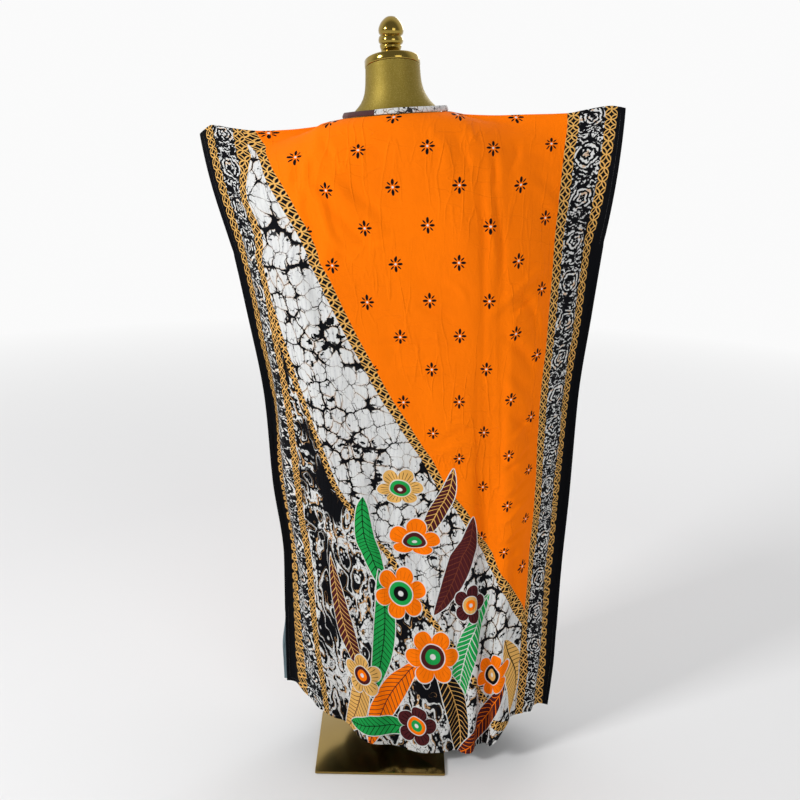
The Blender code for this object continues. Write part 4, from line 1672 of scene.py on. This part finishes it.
    def build(self, form: BVHTree) -> bpy.types.Object:
        """Make the panel.

        Args:
            form: the form's surface.

        Returns:
            The piece.
        """
        across, falls = self.places()
        u, v = np.meshgrid(across * CUT_WIDTH, falls * CUT_LENGTH)
        points = self.relaxed(self.shape.grid(across, falls), u, v)
        points = self.creased(points, self.normals(points), u, v)
        points = self.keep_clear(points, form)
        normals = self.normals(points)
        edge = np.minimum(np.minimum(u, CUT_WIDTH - u), CUT_LENGTH - v)
        turned = self.hem_extra * (edge < self.hem_turn)
        lip = np.where(edge < 0.0005, 0.0003, 0.0)
        inner = points + normals * (self.stand_off + lip)[..., None]
        outer = points + normals * (self.stand_off + self.wall + turned - lip)[..., None]
        rows, columns = u.shape
        count = rows * columns
        flip = self.shape.side is Side.FRONT
        skin = grid_quads(rows, columns, 0, flip)
        lining = grid_quads(rows, columns, count, not flip)
        number = np.arange(count).reshape(rows, columns)
        rim = np.concatenate((number[0], number[1:, -1], number[-1, -2::-1], number[-2:0:-1, 0]))
        after = np.roll(rim, -1)
        wall = np.stack([rim, after, after + count, rim + count], axis=-1)
        wall = wall[:, ::-1] if flip else wall
        faces = np.concatenate((skin, lining, wall))
        kinds = np.concatenate((np.zeros(len(skin)), np.ones(len(lining)), np.zeros(len(wall))))
        places = self.print_places(u, v)
        self.outer, self.across, self.falls, self.outward = outer, across, falls, normals
        mesh = mesh_from(self.name, np.concatenate((outer.reshape(-1, 3), inner.reshape(-1, 3))), faces,
                         np.concatenate((places, places)), kinds, 55.0)
        return new_piece(mesh, (self.finishes.right, self.finishes.wrong), (self.node,))

    def on_cloth(self, u: float, v: float) -> tuple[Vector, Vector]:
        """A place on the panel's outer face.

        Args:
            u: distance across the flat cloth.
            v: distance down it.

        Returns:
            The point and the outward direction.
        """
        i = np.interp(u / CUT_WIDTH, self.across, np.arange(len(self.across)))
        j = np.interp(v / CUT_LENGTH, self.falls, np.arange(len(self.falls)))
        i0, j0 = min(int(i), len(self.across) - 2), min(int(j), len(self.falls) - 2)
        a, b = i - i0, j - j0
        mixed = []
        for grid in (self.outer, self.outward):
            top = grid[j0, i0] * (1 - a) + grid[j0, i0 + 1] * a
            low = grid[j0 + 1, i0] * (1 - a) + grid[j0 + 1, i0 + 1] * a
            mixed.append(Vector(top * (1 - b) + low * b))
        return mixed[0], mixed[1].normalized()


@dataclass
class Stitching:
    """Rows of machine stitches, each a small rounded bar of thread."""

    finishes: Finishes
    pitch: float = 0.0033
    length: float = 0.0024
    radius: float = 0.00026
    sides: int = 6
    swells: tuple[tuple[float, float], ...] = ((0.0, 0.35), (0.18, 0.9), (0.5, 1.0), (0.82, 0.9), (1.0, 0.35))

    def bar(self, start: Vector, end: Vector, out: Vector) -> tuple[np.ndarray, np.ndarray]:
        """One stitch.

        Args:
            start: where it leaves the cloth.
            end: where it goes back in.
            out: direction away from the cloth.

        Returns:
            Its points and its faces.
        """
        run = end - start
        side = run.cross(out).normalized()
        points = []
        for t, swell in self.swells:
            middle = start + run * t + out * (self.radius * (0.9 * swell - 0.2))
            size = self.radius * swell
            points += [middle + (side * c + out * s) * size for c, s in circle(self.sides)]
        return np.array(points), grid_quads(len(self.swells), self.sides, 0, False, closed=True)

    def build(self, name: str, rows: Sequence[Sequence[tuple[Vector, Vector]]]) -> bpy.types.Object:
        """Make all the rows as one piece.

        Args:
            name: the piece's name.
            rows: for each row, the ends of its stitches with their outward directions, in pairs.

        Returns:
            The piece.
        """
        points, faces, count = [], [], 0
        for row in rows:
            for (start, out), (end, _) in zip(row[0::2], row[1::2]):
                bar, quads = self.bar(start, end, out)
                points.append(bar)
                faces.append(quads + count)
                count += len(bar)
        mesh = mesh_from(name, np.concatenate(points), np.concatenate(faces), sharp=80.0)
        return new_piece(mesh, (self.finishes.thread,))

    def marks(self, length: float) -> list[float]:
        """Distances of the stitches' ends along a row.

        Args:
            length: the row's length.

        Returns:
            Starts and ends by turns.
        """
        count = int(length / self.pitch)
        return [k * self.pitch + part for k in range(count) for part in (0.0, self.length)]


@dataclass
class Seam:
    """A narrow rolled seam where the two panels meet."""

    finishes: Finishes
    name: str
    radius: float = 0.0009
    sides: int = 8

    def build(self, path: Sequence[Vector], places: Sequence[tuple[float, float]]) -> bpy.types.Object:
        """Make the seam along a path.

        Args:
            path: its middle line.
            places: each point's place on the print.

        Returns:
            The piece.
        """
        points, uv = [], []
        for k, spot in enumerate(path):
            run = (path[min(k + 1, len(path) - 1)] - path[max(k - 1, 0)]).normalized()
            side = run.cross(Vector((0.0, 1.0, 0.0))).normalized()
            out = side.cross(run).normalized()
            size = self.radius * (0.3 if k in (0, len(path) - 1) else 1.0)
            points += [spot + (side * c + out * s) * size for c, s in circle(self.sides)]
            uv += [places[k]] * self.sides
        mesh = mesh_from(self.name, np.array(points), capped(len(path), self.sides), np.array(uv), sharp=80.0)
        return new_piece(mesh, (self.finishes.right,))


@dataclass
class NeckBinding:
    """Folded bias binding round the neck, pieced of a plain and a crackle strip."""

    finishes: Finishes
    height: float = 0.0105
    wall: float = 0.0022
    lean: float = 0.004
    join: float = 0.190
    gap: float = 0.0006
    reach: float = 0.012
    steps: int = 260
    pucker: float = 0.05
    puckers: float = 900.0
    section: tuple[tuple[float, float], ...] = (
        (0.0, 0.12), (0.06, 0.62), (0.16, 0.92), (0.35, 1.06), (0.6, 1.08), (0.82, 0.98), (0.94, 0.74),
        (1.0, 0.5), (0.94, 0.26), (0.82, 0.04), (0.6, -0.04), (0.3, 0.0), (0.1, 0.02),
    )

    def neckline(self, turn: float) -> Vector:
        """Point of the panels' top edges once round the neck.

        Args:
            turn: 0 at the left shoulder, 0.5 at the right one, 1 back at the left.

        Returns:
            The point.
        """
        middle = (NECK_LEFT_X + NECK_RIGHT_X) / 2
        half = (NECK_RIGHT_X - NECK_LEFT_X) / 2
        shape = BACK_SHAPE if turn % 1.0 < 0.5 else FRONT_SHAPE
        xs, ys = self.rims[shape.side]
        at = shape.spread
        x = middle - half * math.cos(2 * math.pi * turn)
        across = float(np.interp(x, xs, at))
        edge_x = float(np.interp(across, at, xs))
        edge_y = float(np.interp(across, at, ys))
        return Vector((edge_x, edge_y, float(shape.shoulder_z(np.array(edge_x)))))

    def strip(self, name: str, start: float, end: float, material: bpy.types.Material,
              node: str) -> bpy.types.Object:
        """One length of the binding.

        Args:
            name: the piece's name.
            start: where it begins, in turns.
            end: where it ends, in turns.
            material: its cloth.
            node: the frame's node that it stands for.

        Returns:
            The piece.
        """
        centre = Vector(((NECK_LEFT_X + NECK_RIGHT_X) / 2, 0.0, 0.0))
        count = max(12, round(self.steps * (end - start)))
        points, uv, walked, last = [], [], 0.0, None
        for step in range(count + 1):
            turn = start + (end - start) * step / count
            p = self.neckline(turn)
            along = (self.neckline(turn + self.reach) - self.neckline(turn - self.reach)).normalized()
            outward = (Vector((p.x, p.y, 0.0)) - centre).normalized()
            rise = along.cross(outward).normalized()
            rise = rise if rise.z > 0 else -rise
            face = rise.cross(along).normalized()
            face = face if face.dot(outward) > 0 else -face
            foot = p + rise * (3 * SEAM_GAP + CLOTH_WALL)
            walked += (p - last).length if last else 0.0
            last = p
            pucker = 1.0 + self.pucker * math.sin(walked * self.puckers)
            for up, out in self.section:
                spot = foot + rise * (self.height * up) - outward * (self.lean * up)
                points.append(spot + face * (self.wall * out * pucker))
                uv.append((walked, up * 0.012 + out * 0.002))
        faces = capped(count + 1, len(self.section), flip=True)
        mesh = mesh_from(name, np.array(points), faces, np.array(uv), sharp=60.0)
        return new_piece(mesh, (material,), (node,))

    def build(self) -> list[bpy.types.Object]:
        """Make both lengths.

        Returns:
            The two pieces.
        """
        self.rims = {shape.side: shape.row(0.0) for shape in (BACK_SHAPE, FRONT_SHAPE)}
        return [
            self.strip("neck_binding_maroon", 0.0, self.join, self.finishes.plain,
                       "neck_binding_plain"),
            self.strip("neck_binding_crackle", self.join + self.gap, 1 - self.gap, self.finishes.crackle,
                       "neck_binding_print"),
        ]


@dataclass
class Turned:
    """A solid turned about an upright axis."""

    name: str
    profile: tuple[tuple[float, float], ...]
    sides: int = 96
    smooth: int = 0

    def outline(self) -> list[tuple[float, float]]:
        """The profile, with curved runs between its points where it is smooth.

        Returns:
            Radii and heights from the top down.
        """
        if not self.smooth:
            return list(self.profile)
        points = [np.array(p) for p in self.profile]
        line = []
        for k in range(len(points) - 1):
            before, after = points[max(k - 1, 0)], points[min(k + 2, len(points) - 1)]
            for step in range(self.smooth):
                t = step / self.smooth
                spot = 0.5 * (2 * points[k] + (points[k + 1] - before) * t
                              + (2 * before - 5 * points[k] + 4 * points[k + 1] - after) * t**2
                              + (3 * points[k] - before - 3 * points[k + 1] + after) * t**3)
                line.append((max(float(spot[0]), 0.0), float(spot[1])))
        return line + [self.profile[-1]]

    def mesh(self, foot: Matrix | None = None) -> bpy.types.Mesh:
        """Make the mesh.

        Args:
            foot: a plane that the lowest ring is cut to, where there is one.

        Returns:
            The mesh.
        """
        rings = [(r, z) for r, z in self.outline() if r > 1e-6]
        points = np.array([(r * c, r * s, z) for r, z in rings for c, s in circle(self.sides)])
        if foot is not None:
            origin, up = foot.translation, foot.to_3x3() @ Vector((0.0, 0.0, 1.0))
            x, y = points[-self.sides:, 0], points[-self.sides:, 1]
            points[-self.sides:, 2] = origin.z - ((x - origin.x) * up.x + (y - origin.y) * up.y) / up.z
        return mesh_from(self.name, points, capped(len(rings), self.sides), sharp=35.0)


def neck_frame() -> Matrix:
    """Placement of the neck's flat top."""
    tilt = Euler((-NECK_PITCH, -NECK_ROLL, 0.0)).to_matrix().to_4x4()
    return Matrix.Translation((NECK_CENTRE_X, 0.0, NECK_TOP_Z)) @ tilt


@dataclass
class DressForm:
    """The limbless body with its neck, bright cap and finial."""

    finishes: Finishes
    sides: int = 112
    ring_gap: float = 0.009
    cap_radius: float = 0.0555
    finial_x: float = -0.0015

    def ring(self, z: float) -> list[Vector]:
        """Points round one section of the body.

        Args:
            z: the section's height before it is tilted.

        Returns:
            The points.
        """
        x, width, front, back, pitch, roll, square = row_at(TORSO[::-1], z)
        tilt = Euler((-math.radians(pitch), -math.radians(roll), 0.0)).to_matrix()
        points = []
        for c, s in circle(self.sides):
            px = width * math.copysign(abs(c) ** (2 / square), c)
            py = (front if s > 0 else back) * math.copysign(abs(s) ** (2 / square), s)
            points.append(tilt @ Vector((px, py, 0.0)) + Vector((x, 0.0, z)))
        return points

    def heights(self) -> list[float]:
        """Heights of the rings, closer at the neck and at the underside.

        Returns:
            Heights from the top down.
        """
        listed = [section.z for section in TORSO]
        spots = []
        for upper, lower in zip(listed, listed[1:]):
            count = max(2, math.ceil((upper - lower) / self.ring_gap))
            spots += [upper + (lower - upper) * k / count for k in range(count)]
        return spots + [listed[-1]]

    def body(self) -> tuple[bpy.types.Object, BVHTree]:
        """Make the body.

        Returns:
            The piece, and its surface for the cloth to rest on.
        """
        heights = self.heights()
        points = [p for z in heights for p in self.ring(z)]
        faces = capped(len(heights), self.sides)
        mesh = mesh_from("dress_form_body", np.array([tuple(p) for p in points]), faces, sharp=50.0)
        surface = BVHTree.FromPolygons(points, faces)
        return new_piece(mesh, (self.finishes.form,), ("form_body",)), surface

    def cap(self) -> bpy.types.Object:
        """Make the bright cap on the neck.

        Returns:
            The piece.
        """
        r, h = self.cap_radius, CAP_HEIGHT
        profile = ((r * 0.40, h), (r - 0.0034, h), (r - 0.0018, h - 0.0004),
                   (r - 0.0006, h - 0.0014), (r, h - 0.0030), (r, 0.0028),
                   (r - 0.0006, 0.0013), (r - 0.0018, 0.0004), (r - 0.0034, 0.0))
        mesh = Turned("neck_cap_bright", profile, 128).mesh()
        mesh.transform(neck_frame() @ Matrix.Translation((0, 0, SEAM_GAP)))
        return new_piece(mesh, (self.finishes.cap,), ("neck_cap",))

    def finial(self) -> bpy.types.Object:
        """Make the turned finial, its foot cut to the cap's slope.

        Returns:
            The piece.
        """
        profile = ((0.0010, 1.6470), (0.0070, 1.6460), (0.0130, 1.6425), (0.0195, 1.6355), (0.0235, 1.6275),
                   (0.0250, 1.6205), (0.0240, 1.6140), (0.0212, 1.6102), (0.0232, 1.6080), (0.0246, 1.6020),
                   (0.0236, 1.5965), (0.0210, 1.5935), (0.0218, 1.5910), (0.0206, 1.5860), (0.0190, 1.5820),
                   (0.0190, 1.5750), (0.0190, 1.5670))
        foot = Matrix.Translation((-self.finial_x, 0, 0)) @ neck_frame() @ Matrix.Translation(
            (0, 0, CAP_HEIGHT + 2 * SEAM_GAP))
        mesh = Turned("finial_bright", profile, 96, 5).mesh(foot)
        mesh.transform(Matrix.Translation((self.finial_x, 0, 0)))
        return new_piece(mesh, (self.finishes.cap,), ("finial",))


@dataclass
class Stand:
    """Pole, turned collar and square base plate."""

    finishes: Finishes
    pole_radius: float = 0.016
    plate_size: float = 0.300
    plate_thickness: float = 0.006
    plate_corner: float = 0.004
    eased: float = 0.0008

    def pole(self) -> bpy.types.Object:
        """Make the upright.

        Returns:
            The piece.
        """
        r, top, low = self.pole_radius, TORSO[-1].z - SEAM_GAP, self.plate_thickness + SEAM_GAP
        profile = ((r - 0.001, top), (r - 0.0003, top - 0.0003), (r, top - 0.001),
                   (r, 0.60), (r, 0.40), (r, 0.20),
                   (r, low + 0.001), (r - 0.0003, low + 0.0003), (r - 0.001, low))
        mesh = Turned("stand_pole", profile, 72).mesh()
        return new_piece(mesh, (self.finishes.stand,), ("pole",))

    def collar(self) -> bpy.types.Object:
        """Make the turned collar round the pole's foot.

        Returns:
            The piece.
        """
        bore, low = self.pole_radius + SEAM_GAP, self.plate_thickness + SEAM_GAP
        turned = ((0.0220, 0.0500), (0.0234, 0.0494), (0.0240, 0.0480), (0.0240, 0.0140), (0.0246, 0.0100),
                  (0.0266, 0.0072), (0.0300, 0.0061), (0.0400, 0.0060), (0.0414, 0.0054), (0.0420, 0.0040))
        top = (bore, low + 0.050)
        profile = (top, *((r, low + rise) for r, rise in turned), (0.0420, low), (bore, low), top)
        sides = 96
        points = [(r * c, r * s, z) for r, z in profile[:-1] for c, s in circle(sides)]
        faces = grid_quads(len(profile), sides, 0, False, closed=True) % len(points)
        mesh = mesh_from("stand_collar", np.array(points), faces, sharp=35.0)
        return new_piece(mesh, (self.finishes.stand,), ("collar",))

    def plate(self) -> bpy.types.Object:
        """Make the base plate with eased edges.

        Returns:
            The piece.
        """
        half, e, t = self.plate_size / 2, self.eased, self.plate_thickness
        levels = [(0.0, e), (e, 0.0), (t - e, 0.0), (t - e * 0.3, e * 0.3), (t, e)]
        points = []
        for z, inset in levels:
            radius = self.plate_corner - inset
            for corner in range(4):
                cx = (half - self.plate_corner) * (1 if corner in (0, 3) else -1)
                cy = (half - self.plate_corner) * (1 if corner in (0, 1) else -1)
                for k in range(7):
                    angle = math.pi / 2 * (corner + k / 6)
                    points.append((cx + radius * math.cos(angle), cy + radius * math.sin(angle), z))
        faces = capped(len(levels), len(points) // len(levels), flip=True)
        mesh = mesh_from("stand_base_plate", np.array(points), faces, sharp=30.0)
        return new_piece(mesh, (self.finishes.stand,), ("base_plate",))


@dataclass
class Muumuu:
    """The whole garment: two panels, seams, stitching and neck binding."""

    finishes: Finishes
    stitch_inset: float = 0.009
    neck_clear: float = 0.002
    tip_clear: float = 0.003
    cuff_clear: float = 0.004

    def seams(self) -> list[bpy.types.Object]:
        """Roll the shoulder and side seams.

        Returns:
            The seams.
        """
        at = BACK_SHAPE.spread
        rim_x, rim_y = BACK_SHAPE.row(0.0)
        front_y = FRONT_SHAPE.row(0.0)[1]
        neck = np.interp((NECK_LEFT_X - self.neck_clear, NECK_RIGHT_X + self.neck_clear), rim_x, at)
        runs = (("shoulder_seam_left", self.tip_clear, neck[0]),
                ("shoulder_seam_right", neck[1], 1.0 - self.tip_clear))
        made = []
        for name, low, high in runs:
            across = np.linspace(low, high, 90)
            x = np.interp(across, at, rim_x)
            y = (np.interp(across, at, rim_y) + np.interp(across, at, front_y)) / 2
            z = BACK_SHAPE.shoulder_z(x) - 0.0002
            path = [Vector(spot) for spot in zip(x, y, z)]
            places = [(float(a) * CUT_WIDTH, 0.001) for a in across]
            made.append(Seam(self.finishes, name).build(path, places))
        falls = np.linspace(CUFF_FALL + self.cuff_clear, SLIT_FALL, 120)
        for name, column in (("side_seam_left", 0), ("side_seam_right", 1)):
            path, places = [], []
            for fall in falls:
                ends = np.array([float(column)])
                spots = [shape.grid(ends, np.array([fall]))[0, 0] for shape in (BACK_SHAPE, FRONT_SHAPE)]
                path.append(Vector((spots[0] + spots[1]) / 2))
                places.append((0.004, float(fall) * CUT_LENGTH))
            made.append(Seam(self.finishes, name, 0.0008).build(path, places))
        return made

    def stitches(self, panel: ClothPanel, name: str) -> bpy.types.Object:
        """Stitch the hem, cuffs and slits of one panel.

        Args:
            panel: the panel.
            name: the piece's name.

        Returns:
            The stitching.
        """
        work, inset = Stitching(self.finishes), self.stitch_inset
        low = CUT_LENGTH - inset
        rows = [[panel.on_cloth(inset + s, low) for s in work.marks(CUT_WIDTH - 2 * inset)]]
        for u in (inset, CUT_WIDTH - inset):
            rows.append([panel.on_cloth(u, 0.012 + s) for s in work.marks(CUFF_FALL * CUT_LENGTH)])
            start = (SLIT_FALL - 0.01) * CUT_LENGTH
            rows.append([panel.on_cloth(u, start + s) for s in work.marks(low - start)])
        return work.build(name, rows)

    def build(self, form: bpy.types.Object, surface: BVHTree) -> None:
        """Make the garment on the form.

        Args:
            form: the dress form's body; not used.
            surface: the body's surface.
        """
        back = ClothPanel(self.finishes, "back_cloth", "back_panel", BACK_SHAPE, BACK_CREASES)
        front = ClothPanel(self.finishes, "front_cloth", "front_panel", FRONT_SHAPE, FRONT_CREASES,
                           columns=150, rows=240)
        pieces = [back.build(surface), front.build(surface)]
        sewn = [self.stitches(back, "back_stitches"), self.stitches(front, "front_stitches")]
        seams = self.seams()
        binding = NeckBinding(self.finishes).build()


@dataclass(frozen=True)
class SoftBox:
    """A soft rectangular studio light."""

    name: str
    place: tuple[float, float, float]
    aim: tuple[float, float, float]
    size: float
    power: float

    def build(self) -> None:
        """Hang the light and point it at its aim."""
        data = bpy.data.lights.new(self.name, "AREA")
        data.shape = "SQUARE"
        data.size = self.size
        data.energy = self.power
        light = bpy.data.objects.new(self.name, data)
        light.location = self.place
        light.rotation_euler = (Vector(self.aim) - Vector(self.place)).to_track_quat("-Z", "Y").to_euler()
        bpy.context.scene.collection.objects.link(light)


@dataclass(frozen=True)
class Studio:
    """Pale floor, soft light and the camera."""

    floor_size: float = 60.0
    fade_from: float = 3.2
    paper: float = 0.96
    dim: float = 0.28
    camera_place: tuple[float, float, float] = (0.03, -2.1, 1.5)
    camera_pitch: float = 17.0
    camera_roll: float = 1.07
    lens: float = 45.0

    def floor(self) -> None:
        """Lay the pale floor."""
        half = self.floor_size / 2
        corners = np.array([(-half, -half, 0.0), (half, -half, 0.0), (half, half, 0.0), (-half, half, 0.0)])
        mesh = mesh_from("studio_floor", corners, [[0, 1, 2, 3]])
        material, pen, shader = new_material("studio_paper")
        span = pen.node("ShaderNodeVectorMath", operation="LENGTH")
        pen.feed(span.inputs[0], pen.solid_place())
        far = Field(pen, span.outputs["Value"]).above(self.fade_from, self.fade_from)
        pen.fill(shader, {
            "Base Color": pen.paint((0.78, 0.78, 0.785, 1.0), (0.0, 0.0, 0.0, 1.0), far),
            "Emission Color": (1.0, 1.0, 1.0, 1.0),
            "Emission Strength": far * self.paper,
            "Specular IOR Level": 0.0,
            "Roughness": 0.9,
        })
        mesh.materials.append(material)
        floor = bpy.data.objects.new("studio_floor", mesh)
        floor.location.z = -0.0005
        bpy.context.scene.collection.objects.link(floor)

    def light(self) -> None:
        """Set the world's tone and hang the lights."""
        world = bpy.data.worlds.new("studio_air")
        world.use_nodes = True
        pen = Pen(world.node_tree)
        way = Field(pen, pen.node("ShaderNodeTexCoord").outputs["Generated"])
        beyond = pen.split(way)[1].above(-0.1, 0.5)
        strength = beyond * (self.paper - self.dim) + self.dim
        air = world.node_tree.nodes["Background"]
        pen.fill(air, {"Color": (1.0, 1.0, 1.0, 1.0), "Strength": strength})
        bpy.context.scene.world = world
        for box in (
            SoftBox("key_light", (-3.6, -2.5, 3.1), (0.05, 0.0, 0.9), 0.9, 150.0),
            SoftBox("fill_light", (1.6, -3.2, 2.2), (0.05, 0.0, 0.9), 1.6, 22.0),
            SoftBox("front_light", (1.4, 2.9, 2.6), (0.05, 0.0, 0.9), 1.6, 22.0),
        ):
            box.build()

    def camera(self) -> None:
        """Place the camera at the photographed angle."""
        data = bpy.data.cameras.new("camera")
        data.lens = self.lens
        data.sensor_width = 36.0
        camera = bpy.data.objects.new("camera", data)
        tilt = Euler((math.radians(90.0 - self.camera_pitch), 0.0, 0.0)).to_matrix()
        roll = Matrix.Rotation(math.radians(self.camera_roll), 3, "Z")
        camera.matrix_world = Matrix.Translation(self.camera_place) @ (tilt @ roll).to_4x4()
        bpy.context.scene.collection.objects.link(camera)
        bpy.context.scene.camera = camera

    def build(self) -> None:
        """Set up the whole studio."""
        self.floor()
        self.light()
        self.camera()
        bpy.context.scene.view_settings.view_transform = "Standard"


def main() -> None:
    """Build the dress form, the stand, the muumuu and the studio."""
    logging.basicConfig(level=logging.INFO, format="%(name)s: %(message)s")
    finishes = Finishes.make()
    form = DressForm(finishes)
    body, surface = form.body()
    form.cap()
    form.finial()
    stand = Stand(finishes)
    stand.pole()
    stand.collar()
    stand.plate()
    Muumuu(finishes).build(body, surface)
    Studio().build()


if __name__ == "__main__":
    main()
